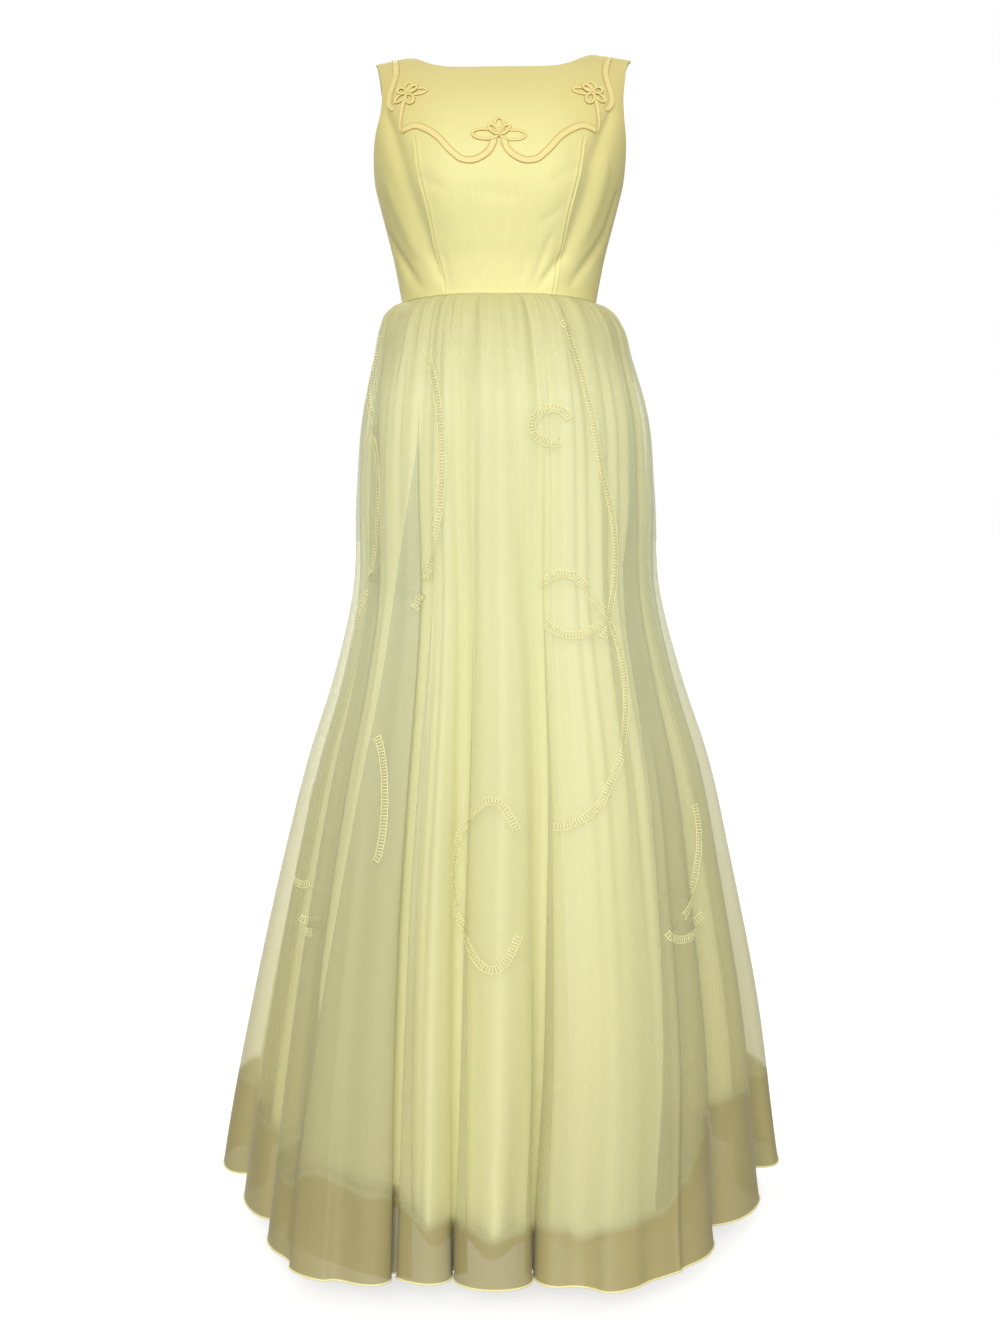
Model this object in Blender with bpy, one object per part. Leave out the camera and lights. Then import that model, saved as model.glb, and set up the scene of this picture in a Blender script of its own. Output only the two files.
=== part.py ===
# Floor-length sleeveless gown: fitted bodice with a boat neck, gathered sheer
# overskirt, plain underskirt, applied braid and a centre-back zip.
# Metres, +Z up, front towards -Y, +X to the viewer's right.
# The origin is midway between the two shoulder seams, at their height.

import math
from collections import namedtuple

import bmesh
import bpy
import numpy as np
from mathutils import Matrix, Vector
from mathutils.bvhtree import BVHTree

# Cloth walls and the gaps between pieces
SEAM_GAP = 0.0003
LAY_GAP = 0.0004
BODICE_WALL = 0.0020
OVERSKIRT_WALL = 0.0012
UNDERSKIRT_WALL = 0.0012

# Bodice
WAIST_Z = -0.315
NECK_HALF = 0.120
SHOULDER_SEAM_START = 0.119
SHOULDER_DROP = 0.19
SHOULDER_TILT = 0.023
FRONT_NECK_LEVEL = 8.3
FRONT_NECK_CURVE = 6.0
BACK_NECK_LEVEL = 7.4
BACK_NECK_CURVE = 4.0
TOP_LEVEL = 11.0
UNDERARM_LEVEL = 3.8
GIRTH_SCALE = 0.15
NORMAL_LEVEL_STEP = 0.02
NORMAL_ANGLE_STEP = 0.4

# Skirts
HEM_Z = -1.490
HEM_REACH = 0.355
HEM_ROLL = 0.0009
COLUMNS_PER_FOLD = 3
LINING_FRONT_Z = -1.452
LINING_BACK_Z = -1.412
LINING_FOLD_SHARE = 0.30

# Braid
BRAID_WIDTH = 0.0095
BRAID_HEIGHT = 0.0024
BRAID_STEPS = 22
BRAID_SEAM_CLEAR = 0.0005
BRAID_SECTION = [(-0.5, 0.0), (-0.5, 0.6), (-0.3, 1.0), (0.0, 0.7), (0.3, 1.0), (0.5, 0.6), (0.5, 0.0)]
CORD_SECTION = [(-0.5, 0.0), (-0.5, 0.55), (0.0, 1.0), (0.5, 0.55), (0.5, 0.0)]
BED_ROWS = 100
BED_COLUMNS = 110
CORD_WIDTH = 0.0034
CORD_HEIGHT = 0.0026
LOOP_STEPS = 14
HUB_RADIUS = 0.0048
HUB_TOP_SHARE = 0.7
LOOP_START_SHARE = 0.2

# Zip
WALK_STEP = 0.005
ZIP_HALF_OPENING = 0.0045
TAPE_HALF_WIDTH = 0.0145
TAPE_THICK = 0.0010
CHAIN_HALF_WIDTH = 0.0025
CHAIN_THICK = 0.0022
ZIP_TOP_MARGIN = 0.0030
SLIDER_LENGTH = 0.0110
SLIDER_HALF_WIDTH = 0.0041
SLIDER_NOSE_SHARE = 0.6
SLIDER_TAIL_SHARE = 0.75
SLIDER_CORNER_LOW = 0.2
SLIDER_CORNER_HIGH = 0.8
SLIDER_UNDER = 0.0020
SLIDER_FACE = 0.0015
PULL_AXIS_OUT = 0.0028
PULL_THICK = 0.0010
PULL_LENGTH = 0.0230
PULL_TOP_HALF = 0.0026
PULL_END_HALF = 0.0034
PULL_SLOT_HALF = 0.0013
PULL_SLOT_LENGTH = 0.0036
BRIDGE_HALF_WIDTH = 0.0008
BRIDGE_INNER = 0.0016
BRIDGE_OUTER = 0.0024
BRIDGE_CLEAR = 0.0009
BRIDGE_TOP = 0.0017
BRIDGE_ROOT = 0.0004

# The bodice as a stack of rounded sections, waist to shoulder seam
BodyRow = namedtuple("BodyRow", "level z half_width front back squareness")
BODY_ROWS = [
    BodyRow(0.0, WAIST_Z, 0.1270, 0.098, 0.090, 2.00),
    BodyRow(1.0, -0.2710, 0.1350, 0.104, 0.095, 2.10),
    BodyRow(2.0, -0.2440, 0.1410, 0.111, 0.100, 2.20),
    BodyRow(3.0, -0.2020, 0.1520, 0.121, 0.108, 2.30),
    BodyRow(4.0, -0.1600, 0.1620, 0.126, 0.113, 2.40),
    BodyRow(5.0, -0.1190, 0.1680, 0.119, 0.114, 2.50),
    BodyRow(6.0, -0.0850, 0.1695, 0.105, 0.108, 2.60),
    BodyRow(7.0, -0.0550, 0.1700, 0.085, 0.092, 2.60),
    BodyRow(8.0, -0.0300, 0.1700, 0.061, 0.070, 2.50),
    BodyRow(9.0, -0.0120, 0.1695, 0.036, 0.044, 2.40),
    BodyRow(10.0, -0.0025, 0.1690, 0.015, 0.019, 2.30),
    BodyRow(11.0, 0.0000, 0.1685, 0.0, 0.0, 2.20),
]

# Seam and armhole lines: half breadth from the centre line at each level
LineRow = namedtuple("LineRow", "level x")
PRINCESS_LINE = [
    LineRow(0.0, 0.068), LineRow(1.3, 0.078), LineRow(2.8, 0.086), LineRow(3.9, 0.097),
    LineRow(5.1, 0.107), LineRow(5.9, 0.122), LineRow(7.2, 0.134), LineRow(11.0, 0.139),
]
# Armhole: share of the way from the centre line to the side, as an angle
ArmRow = namedtuple("ArmRow", "level angle")
FRONT_ARMHOLE = [
    ArmRow(UNDERARM_LEVEL, 90.0), ArmRow(4.1, 81.0), ArmRow(4.6, 74.0), ArmRow(5.2, 68.0),
    ArmRow(6.0, 61.0), ArmRow(6.8, 58.5), ArmRow(8.0, 62.5), ArmRow(9.5, 71.0), ArmRow(11.0, 80.0),
]
BACK_ARMHOLE = [
    ArmRow(UNDERARM_LEVEL, 90.0), ArmRow(4.1, 98.5), ArmRow(4.6, 104.5), ArmRow(5.2, 110.0),
    ArmRow(6.0, 115.0), ArmRow(6.8, 117.0), ArmRow(8.0, 113.5), ArmRow(9.5, 107.0),
    ArmRow(11.0, 100.0),
]
PANEL_LEVELS = [0.0, 0.7, 1.4, 2.1, 2.8, 3.3, 3.8, 4.15, 4.6, 5.2, 6.0, 7.0, 8.0, 9.0, 10.0, 11.0]
NECK_SHARE = 0.863
FRONT_COLUMNS = [0.0, 0.20, 0.40, 0.58, 0.74, NECK_SHARE, 0.93, 1.0]
SIDE_COLUMNS = [0.0, 0.14, 0.28, 0.42, 0.56, 0.70, 0.85, 1.0]
BACK_NECK_COLUMNS = 6
BACK_SHOULDER_COLUMNS = 4

# Relief on the bodice: bust fullness is raised, drag folds are sunk
RELIEF_FADE_SIDE = 0.03
RELIEF_FADE_WAIST = 0.02
Relief = namedtuple("Relief", "x0 z0 x1 z1 width height")
BODICE_RELIEF = [
    Relief(-0.078, -0.168, -0.072, -0.182, 0.048, 0.0075),
    Relief(0.078, -0.168, 0.072, -0.182, 0.048, 0.0075),
    Relief(-0.138, -0.112, -0.120, -0.215, 0.013, -0.0065),
    Relief(-0.150, -0.205, -0.094, -0.285, 0.011, -0.0070),
    Relief(-0.118, -0.262, -0.104, -0.300, 0.008, -0.0040),
    Relief(0.140, -0.112, 0.124, -0.205, 0.013, -0.0065),
    Relief(0.122, -0.205, 0.100, -0.270, 0.012, -0.0050),
    Relief(0.060, -0.255, 0.044, -0.300, 0.008, -0.0030),
]

# The skirts as a stack of sections, waist seam to hem
SkirtRow = namedtuple("SkirtRow", "z half_width front back shift fold gather gap roll lining")
SKIRT_ROWS = [
    SkirtRow(WAIST_Z - SEAM_GAP, 0.1270, 0.098, 0.090, 0.000, 0.00, 0.0, 0.0003, 0.0, "wall"),
    SkirtRow(-0.326, 0.1430, 0.113, 0.105, 0.001, 0.02, 0.0016, 0.0030, 0.0, "none"),
    SkirtRow(-0.345, 0.1560, 0.126, 0.120, 0.003, 0.05, 0.0030, 0.0055, 0.0, "wall"),
    SkirtRow(-0.385, 0.1680, 0.140, 0.138, 0.005, 0.10, 0.0030, 0.0065, 0.0, "wall"),
    SkirtRow(-0.450, 0.1850, 0.155, 0.158, 0.008, 0.17, 0.0020, 0.0070, 0.0, "wall"),
    SkirtRow(-0.560, 0.1930, 0.168, 0.176, 0.009, 0.25, 0.0010, 0.0070, 0.0, "wall"),
    SkirtRow(-0.690, 0.1960, 0.180, 0.192, 0.010, 0.34, 0.0, 0.0080, 0.0, "wall"),
    SkirtRow(-0.800, 0.2190, 0.203, 0.214, 0.012, 0.43, 0.0, 0.0090, 0.0, "none"),
    SkirtRow(-0.920, 0.2550, 0.232, 0.243, 0.013, 0.52, 0.0, 0.0100, 0.0, "wall"),
    SkirtRow(-1.060, 0.2850, 0.264, 0.276, 0.011, 0.63, 0.0, 0.0100, 0.0, "none"),
    SkirtRow(-1.250, 0.3190, 0.307, 0.314, 0.009, 0.80, 0.0, 0.0110, 0.0, "wall"),
    SkirtRow(-1.474, 0.3480, 0.350, 0.350, 0.003, 0.99, 0.0, 0.0120, 0.0, "hem"),
    SkirtRow(-1.482, 0.3490, 0.352, 0.352, 0.003, 1.00, 0.0, 0.0120, HEM_ROLL, "none"),
    SkirtRow(HEM_Z, 0.3500, HEM_REACH, HEM_REACH, 0.003, 1.00, 0.0, 0.0120, HEM_ROLL, "none"),
]

# Folds round the skirt, crests and valleys in turn, left back to right back
FoldRow = namedtuple("FoldRow", "waist_angle hem_angle reach")
FOLD_ROWS = [
    FoldRow(-180, -180.0, 0.325), FoldRow(-168, -170.0, 0.388), FoldRow(-157, -160.0, 0.318),
    FoldRow(-146, -149.0, 0.392), FoldRow(-134, -137.0, 0.312), FoldRow(-122, -124.0, 0.398),
    FoldRow(-110, -110.0, 0.330), FoldRow(-100, -97.5, 0.396), FoldRow(-90, -86.0, 0.325),
    FoldRow(-84, -70.5, 0.361), FoldRow(-76, -57.5, 0.285), FoldRow(-66, -45.0, 0.386),
    FoldRow(-57, -36.0, 0.406), FoldRow(-47, -27.5, 0.390), FoldRow(-39, -21.0, 0.345),
    FoldRow(-31, -15.0, 0.362), FoldRow(-23, -10.0, 0.312), FoldRow(-4, -1.5, 0.366),
    FoldRow(15, 6.5, 0.311), FoldRow(25, 12.0, 0.364), FoldRow(37, 21.0, 0.394),
    FoldRow(50, 30.0, 0.384), FoldRow(64, 38.5, 0.378), FoldRow(76, 53.0, 0.278),
    FoldRow(83, 70.5, 0.363), FoldRow(90, 83.0, 0.328), FoldRow(100, 97.0, 0.396),
    FoldRow(110, 109.0, 0.335), FoldRow(121, 121.0, 0.390), FoldRow(132, 133.0, 0.305),
    FoldRow(144, 146.0, 0.395), FoldRow(156, 158.0, 0.320), FoldRow(168, 169.0, 0.386),
    FoldRow(180, 180.0, 0.325),
]
SIDE_SEAM_ANGLE = 90

# Braid routes on the right half of the front, as breadth and height
BraidPoint = namedtuple("BraidPoint", "x z")
SHOULDER_BRAID = [
    BraidPoint(0.1380, -0.0015), BraidPoint(0.1345, -0.0150), BraidPoint(0.1325, -0.0300),
    BraidPoint(0.1350, -0.0460), BraidPoint(0.1390, -0.0620), BraidPoint(0.1385, -0.0740),
    BraidPoint(0.1330, -0.0810),
]
SCALLOP_BRAID = [
    BraidPoint(0.1220, -0.1120), BraidPoint(0.1140, -0.1095), BraidPoint(0.1040, -0.1075),
    BraidPoint(0.0900, -0.1130), BraidPoint(0.0750, -0.1240), BraidPoint(0.0600, -0.1410),
    BraidPoint(0.0460, -0.1520), BraidPoint(0.0320, -0.1530), BraidPoint(0.0200, -0.1465),
    BraidPoint(0.0110, -0.1380),
]
# Looped motifs: centre, and for each loop its direction, length and breadth
Loop = namedtuple("Loop", "turn length breadth")
CENTRE_LOOPS = [Loop(4, 0.0340, 0.0185), Loop(90, 0.0235, 0.0175), Loop(176, 0.0340, 0.0185)]
SIDE_LOOPS = [Loop(80, 0.0185, 0.0125), Loop(172, 0.0260, 0.0135), Loop(318, 0.0165, 0.0120),
              Loop(235, 0.0165, 0.0120)]
CENTRE_MOTIF_Z = -0.1220
SIDE_MOTIF_X = 0.1160
SIDE_MOTIF_Z = -0.0625


def clear_scene():
    for old in list(bpy.data.objects):
        bpy.data.objects.remove(old, do_unlink=True)


def make_material(name, colour, roughness, metallic=0.0):
    material = bpy.data.materials.new(name)
    material.use_nodes = True
    shader = material.node_tree.nodes["Principled BSDF"]
    shader.inputs["Base Color"].default_value = (*colour, 1.0)
    shader.inputs["Roughness"].default_value = roughness
    shader.inputs["Metallic"].default_value = metallic
    material.diffuse_color = (*colour, 1.0)
    return material


def curve_through(places, values):
    """A smooth function through the given values, flat beyond its ends."""
    places = np.array(places, dtype=float)
    values = np.array(values, dtype=float)
    slopes = np.gradient(values, places)

    def value_at(place):
        place = min(max(place, places[0]), places[-1])
        index = min(int(np.searchsorted(places, place, side="right")) - 1, len(places) - 2)
        span = places[index + 1] - places[index]
        t = (place - places[index]) / span
        start = (1 + 2 * t) * (1 - t) ** 2 * values[index] + t * (1 - t) ** 2 * span * slopes[index]
        end = t * t * (3 - 2 * t) * values[index + 1] + t * t * (t - 1) * span * slopes[index + 1]
        return float(start + end)

    return value_at


def column_curve(rows, key, column):
    return curve_through([getattr(row, key) for row in rows], [getattr(row, column) for row in rows])


BODY_Z = column_curve(BODY_ROWS, "level", "z")
BODY_WIDTH = column_curve(BODY_ROWS, "level", "half_width")
BODY_FRONT = column_curve(BODY_ROWS, "level", "front")
BODY_BACK = column_curve(BODY_ROWS, "level", "back")
BODY_SQUARE = column_curve(BODY_ROWS, "level", "squareness")
LEVEL_AT_Z = column_curve(BODY_ROWS, "z", "level")
PRINCESS_X = column_curve(PRINCESS_LINE, "level", "x")
FRONT_ARM_ANGLE = column_curve(FRONT_ARMHOLE, "level", "angle")
BACK_ARM_ANGLE = column_curve(BACK_ARMHOLE, "level", "angle")


def signed_power(value, power):
    return math.copysign(abs(value) ** power, value)


def body_point(level, angle):
    """A point of the smooth bodice. Angle 0 is centre front, 90 the right side, 180 centre back."""
    turn = math.radians(angle)
    power = 2.0 / BODY_SQUARE(level)
    depth = BODY_FRONT(level) if math.cos(turn) > 0 else BODY_BACK(level)
    x = BODY_WIDTH(level) * signed_power(math.sin(turn), power)
    y = -depth * signed_power(math.cos(turn), power)
    top_share = max(0.0, level - UNDERARM_LEVEL) / (TOP_LEVEL - UNDERARM_LEVEL)
    drop = SHOULDER_DROP * max(0.0, abs(x) - NECK_HALF) * top_share
    tilt = SHOULDER_TILT * x * top_share * top_share
    return Vector((x, y, BODY_Z(level) - drop + tilt))


def body_normal(level, angle):
    above = body_point(min(level + NORMAL_LEVEL_STEP, TOP_LEVEL), angle)
    below = body_point(max(level - NORMAL_LEVEL_STEP, 0.0), angle)
    further = body_point(level, angle + NORMAL_ANGLE_STEP)
    nearer = body_point(level, angle - NORMAL_ANGLE_STEP)
    return (further - nearer).cross(above - below).normalized()


def angle_at_breadth(level, x):
    """Angle on the front where a section has the breadth x."""
    share = min(abs(x) / BODY_WIDTH(level), 1.0)
    angle = math.degrees(math.asin(share ** (BODY_SQUARE(level) / 2.0)))
    return math.copysign(angle, x)


def reach_round(x, z):
    """Place on the unrolled front, for a breadth and height seen from the front."""
    level = LEVEL_AT_Z(z)
    point = body_point(level, angle_at_breadth(level, x))
    return Vector((math.atan2(point.x, -point.y) * GIRTH_SCALE, z))


RELIEF_RUNS = [(reach_round(relief.x0, relief.z0), reach_round(relief.x1, relief.z1))
               for relief in BODICE_RELIEF]


def relief_height(point):
    """Bust fullness and drag folds at a point of the front."""
    if point.y > 0:
        return 0.0
    here = Vector((math.atan2(point.x, -point.y) * GIRTH_SCALE, point.z))
    total = 0.0
    for relief, (start, end) in zip(BODICE_RELIEF, RELIEF_RUNS):
        run = end - start
        share = min(max((here - start).dot(run) / run.length_squared, 0.0), 1.0)
        distance = (here - start - run * share).length / relief.width
        total += relief.height * math.exp(-distance * distance)
    side_share = min(1.0, -point.y / RELIEF_FADE_SIDE)
    waist_share = min(1.0, (point.z - WAIST_Z) / RELIEF_FADE_WAIST)
    return total * side_share * waist_share


def bodice_at(level, angle, out):
    """A point on the bodice cloth, moved out from its outer face."""
    point = body_point(level, angle)
    return point + body_normal(level, angle) * (relief_height(point) + out)


def finish_mesh(name, mesh_data, material, smooth_angle=40.0):
    bmesh.ops.recalc_face_normals(mesh_data, faces=mesh_data.faces)
    mesh = bpy.data.meshes.new(name)
    mesh_data.to_mesh(mesh)
    mesh_data.free()
    mesh.materials.append(material)
    mesh.shade_smooth()
    mesh.set_sharp_from_angle(angle=math.radians(smooth_angle))
    piece = bpy.data.objects.new(name, mesh)
    bpy.context.scene.collection.objects.link(piece)
    return piece


def make_wall(name, outer, inner, material):
    """A closed wall between two grids of points with the same rows and columns."""
    mesh_data = bmesh.new()
    sheets = []
    for grid in (outer, inner):
        sheets.append([[mesh_data.verts.new(point) for point in row] for row in grid])
    last_row = len(outer) - 1
    last_column = len(outer[0]) - 1
    for r in range(last_row):
        for c in range(last_column):
            for sheet in sheets:
                mesh_data.faces.new((sheet[r][c], sheet[r][c + 1], sheet[r + 1][c + 1], sheet[r + 1][c]))
    out, back = sheets
    for c in range(last_column):
        for r in (0, last_row):
            mesh_data.faces.new((out[r][c], out[r][c + 1], back[r][c + 1], back[r][c]))
    for r in range(last_row):
        for c in (0, last_column):
            mesh_data.faces.new((out[r][c], out[r + 1][c], back[r + 1][c], back[r][c]))
    return finish_mesh(name, mesh_data, material)


def make_panel(name, places, facing, material):
    """A bodice panel from a grid of level and angle; facing is -1 in front, 1 behind."""
    outer = [[bodice_at(level, angle, 0.0) for level, angle in row] for row in places]
    inner = [[bodice_at(level, angle, -BODICE_WALL) for level, angle in row] for row in places]
    half_gap = SEAM_GAP / 2
    for grid in (outer, inner):
        for point in grid[0]:
            point.z = WAIST_Z + half_gap
        for point in grid[-1]:
            if abs(point.x) > SHOULDER_SEAM_START:
                point.y = facing * half_gap
    return make_wall(name, outer, inner, material)


def front_neck_level(share):
    rise = min(1.0, share / NECK_SHARE) ** FRONT_NECK_CURVE
    return FRONT_NECK_LEVEL + (TOP_LEVEL - FRONT_NECK_LEVEL) * rise


def build_bodice_front(material):
    shares = [-share for share in reversed(FRONT_COLUMNS[1:])] + FRONT_COLUMNS
    places = []
    for row_level in PANEL_LEVELS:
        row = []
        for share in shares:
            level = row_level * front_neck_level(abs(share)) / TOP_LEVEL
            edge = PRINCESS_X(level) - SEAM_GAP / 2
            row.append((level, angle_at_breadth(level, share * edge)))
        places.append(row)
    make_panel("bodice_front_centre", places, -1, material)


def build_side_fronts(material):
    for side, label in ((-1, "left"), (1, "right")):
        places = []
        for level in PANEL_LEVELS:
            seam = angle_at_breadth(level, PRINCESS_X(level) + SEAM_GAP / 2)
            side_gap = math.degrees(SEAM_GAP / 2 / GIRTH_SCALE)
            edge = min(FRONT_ARM_ANGLE(level), 90.0 - side_gap)
            row = [(level, side * (seam + (edge - seam) * share)) for share in SIDE_COLUMNS]
            places.append(row if side > 0 else row[::-1])
        make_panel("bodice_side_front_" + label, places, -1, material)


def back_opening_angle(level, x):
    share = min(x / BODY_WIDTH(level), 1.0)
    return 180.0 - math.degrees(math.asin(share ** (BODY_SQUARE(level) / 2.0)))


def build_bodice_backs(material):
    neck_angle = back_opening_angle(TOP_LEVEL, NECK_HALF)
    arm_angle = BACK_ARM_ANGLE(TOP_LEVEL)
    centre_angle = back_opening_angle(TOP_LEVEL, ZIP_HALF_OPENING)
    neck_share = (centre_angle - neck_angle) / (centre_angle - arm_angle)
    shares = [neck_share * step / BACK_NECK_COLUMNS for step in range(BACK_NECK_COLUMNS)]
    for step in range(BACK_SHOULDER_COLUMNS + 1):
        shares.append(neck_share + (1 - neck_share) * step / BACK_SHOULDER_COLUMNS)
    for side, label in ((-1, "left"), (1, "right")):
        places = []
        for row_level in PANEL_LEVELS:
            row = []
            for share in shares:
                rise = min(1.0, share / neck_share) ** BACK_NECK_CURVE
                level = row_level * (BACK_NECK_LEVEL + (TOP_LEVEL - BACK_NECK_LEVEL) * rise) / TOP_LEVEL
                centre = back_opening_angle(level, ZIP_HALF_OPENING)
                side_gap = math.degrees(SEAM_GAP / 2 / GIRTH_SCALE)
                edge = max(BACK_ARM_ANGLE(level), 90.0 + side_gap)
                row.append((level, side * (centre + (edge - centre) * share)))
            places.append(row if side < 0 else row[::-1])
        make_panel("bodice_back_" + label, places, 1, material)


def fold_columns():
    """Waist angle, hem angle and hem reach of every column round the skirt."""
    columns = []
    for start, end in zip(FOLD_ROWS, FOLD_ROWS[1:]):
        for step in range(COLUMNS_PER_FOLD):
            share = step / COLUMNS_PER_FOLD
            ease = (1 - math.cos(math.pi * share)) / 2
            columns.append(FoldRow(
                start.waist_angle + (end.waist_angle - start.waist_angle) * share,
                start.hem_angle + (end.hem_angle - start.hem_angle) * share,
                start.reach + (end.reach - start.reach) * ease))
    columns.append(FOLD_ROWS[-1])
    return columns


def skirt_point(row, column, index, inward, lining_z=None):
    """A point of a skirt section; inward is measured towards the middle."""
    drop_share = (WAIST_Z - row.z) / (WAIST_Z - HEM_Z)
    turn = math.radians(column.waist_angle + (column.hem_angle - column.waist_angle) * drop_share)
    depth = row.front if math.cos(turn) > 0 else row.back
    round_reach = 1.0 / math.hypot(math.sin(turn) / row.half_width, math.cos(turn) / depth)
    fold = (column.reach - HEM_REACH) * row.fold
    gather = row.gather * (1 if index % 2 else -1)
    reach = round_reach + fold - inward
    reach += gather if lining_z is None else 0.0
    z = row.z if lining_z is None else lining_z
    return Vector((row.shift + reach * math.sin(turn), -reach * math.cos(turn), z))


def wall_normals(grid):
    """Horizontal normals of a closed ring of columns, for each row."""
    normals = []
    for row in grid:
        count = len(row) - 1
        ring = []
        for index in range(count + 1):
            after = row[(index + 1) % count]
            before = row[(index - 1) % count]
            along = after - before
            ring.append(Vector((along.y, -along.x, 0.0)).normalized())
        normals.append(ring)
    return normals


def split_ring(name, outer, inner, columns, material):
    """Cut a skirt ring at the side seams and the centre back."""
    angles = [column.waist_angle for column in columns]
    cuts = [0, angles.index(-SIDE_SEAM_ANGLE), angles.index(SIDE_SEAM_ANGLE), len(angles) - 1]
    labels = ["back_left", "front", "back_right"]
    for label, first, last in zip(labels, cuts, cuts[1:]):
        walls = []
        for grid in (outer, inner):
            wall = []
            for row in grid:
                part = [point.copy() for point in row[first:last + 1]]
                part[0] += (part[1] - part[0]).normalized() * SEAM_GAP / 2
                part[-1] += (part[-2] - part[-1]).normalized() * SEAM_GAP / 2
                wall.append(part)
            walls.append(wall)
        make_wall(name + "_" + label, walls[0], walls[1], material)


def build_overskirt(material):
    columns = fold_columns()
    middle = []
    for row in SKIRT_ROWS:
        middle.append([skirt_point(row, column, i, 0.0) for i, column in enumerate(columns)])
    normals = wall_normals(middle)
    outer = []
    inner = []
    for row, points, ring in zip(SKIRT_ROWS, middle, normals):
        outer.append([point + normal * row.roll for point, normal in zip(points, ring)])
        inner.append([point - normal * OVERSKIRT_WALL for point, normal in zip(points, ring)])
    split_ring("overskirt", outer, inner, columns, material)


def lining_hem_z(angle):
    back_share = (1 - math.cos(math.radians(angle))) / 2
    return LINING_FRONT_Z + (LINING_BACK_Z - LINING_FRONT_Z) * min(1.0, back_share * 2)


def build_underskirt(material):
    columns = fold_columns()
    rows = [row for row in SKIRT_ROWS if row.lining != "none"]
    lowest = min(column.reach for column in columns)
    outer = []
    for row in rows:
        ring = []
        for index, column in enumerate(columns):
            inward = OVERSKIRT_WALL + row.gap + (column.reach - lowest) * row.fold * LINING_FOLD_SHARE
            lining_z = lining_hem_z(column.hem_angle) if row.lining == "hem" else row.z
            ring.append(skirt_point(row, column, index, inward, lining_z))
        outer.append(ring)
    normals = wall_normals(outer)
    inner = []
    for points, ring in zip(outer, normals):
        inner.append([point - normal * UNDERSKIRT_WALL for point, normal in zip(points, ring)])
    split_ring("underskirt", outer, inner, columns, material)


class FrontBed:
    """Seats points on the front: over its smooth form and over its flat faces."""

    def __init__(self):
        levels = np.linspace(0.0, TOP_LEVEL, BED_ROWS)
        angles = np.linspace(-90.0, 90.0, BED_COLUMNS)
        points = [bodice_at(level, angle, 0.0) for level in levels for angle in angles]
        quads = []
        for r in range(BED_ROWS - 1):
            for c in range(BED_COLUMNS - 1):
                corner = r * BED_COLUMNS + c
                quads.append((corner, corner + 1, corner + BED_COLUMNS + 1, corner + BED_COLUMNS))
        self.smooth = BVHTree.FromPolygons(points, quads)
        panels = bmesh.new()
        for name in ("bodice_front_centre", "bodice_side_front_left", "bodice_side_front_right"):
            panels.from_mesh(bpy.data.objects[name].data)
        self.faces = BVHTree.FromBMesh(panels)
        panels.free()

    def place(self, x, z):
        """The point and normal of the front at a breadth and height seen from the front."""
        level = LEVEL_AT_Z(z)
        return self.smooth.find_nearest(bodice_at(level, angle_at_breadth(level, x), 0.0))[:2]

    def seat(self, point, out):
        """The point moved straight onto the front, then out from it."""
        cloth, normal = self.smooth.find_nearest(point)[:2]
        rise = max(0.0, (self.faces.find_nearest(cloth)[0] - cloth).dot(normal))
        return cloth + normal * (rise + out)


def route_places(bed, route, side):
    """Evenly spaced points of a smooth route on the front, with the way along and the normal."""
    corners = [bed.place(side * point.x, point.z)[0] for point in route]
    lengths = [0.0]
    for before, after in zip(corners, corners[1:]):
        lengths.append(lengths[-1] + (after - before).length)
    curves = [curve_through(lengths, [corner[axis] for corner in corners]) for axis in range(3)]
    points = []
    for step in range(BRAID_STEPS + 1):
        along = lengths[-1] * step / BRAID_STEPS
        points.append(Vector([curve(along) for curve in curves]))
    places = []
    for step, point in enumerate(points):
        run = points[min(step + 1, BRAID_STEPS)] - points[max(step - 1, 0)]
        seat, normal = bed.smooth.find_nearest(point)[:2]
        places.append((seat, run.normalized(), normal))
    return places


def build_braid(name, bed, route, side, material):
    """A padded band laid on the front, with two raised cords along its edges."""
    mesh_data = bmesh.new()
    rings = []
    for point, run, normal in route_places(bed, route, side):
        aside = run.cross(normal)
        ring = []
        for across, up in BRAID_SECTION:
            seat = bed.seat(point + aside * across * BRAID_WIDTH, LAY_GAP + up * BRAID_HEIGHT)
            seat.y = min(seat.y, -BRAID_SEAM_CLEAR)
            ring.append(mesh_data.verts.new(seat))
        rings.append(ring)
    count = len(BRAID_SECTION)
    for first, second in zip(rings, rings[1:]):
        for i in range(count):
            j = (i + 1) % count
            mesh_data.faces.new((first[i], first[j], second[j], second[i]))
    mesh_data.faces.new(rings[0])
    mesh_data.faces.new(rings[-1])
    finish_mesh(name, mesh_data, material)


def flat_loop(turn, length, breadth):
    """One closed oval loop of cord, drawn flat, that starts at the motif's middle."""
    mesh_data = bmesh.new()
    rings = []
    half_cord = CORD_WIDTH / 2
    centre = length / 2 + HUB_RADIUS * LOOP_START_SHARE
    for step in range(LOOP_STEPS):
        phase = 2 * math.pi * step / LOOP_STEPS
        along = centre + (length / 2 - half_cord) * math.cos(phase)
        aside = (breadth / 2 - half_cord) * math.sin(phase)
        out_x = math.cos(phase) * breadth
        out_y = math.sin(phase) * length
        scale = math.hypot(out_x, out_y)
        ring = []
        for across, up in CORD_SECTION:
            x = along + out_x / scale * across * CORD_WIDTH
            y = aside + out_y / scale * across * CORD_WIDTH
            spin = math.radians(turn)
            flat = (x * math.cos(spin) - y * math.sin(spin), x * math.sin(spin) + y * math.cos(spin))
            ring.append(mesh_data.verts.new((flat[0], flat[1], up * CORD_HEIGHT)))
        rings.append(ring)
    count = len(CORD_SECTION)
    for i in range(LOOP_STEPS):
        first = rings[i]
        second = rings[(i + 1) % LOOP_STEPS]
        for a in range(count):
            b = (a + 1) % count
            mesh_data.faces.new((first[a], first[b], second[b], second[a]))
    return mesh_data


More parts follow.
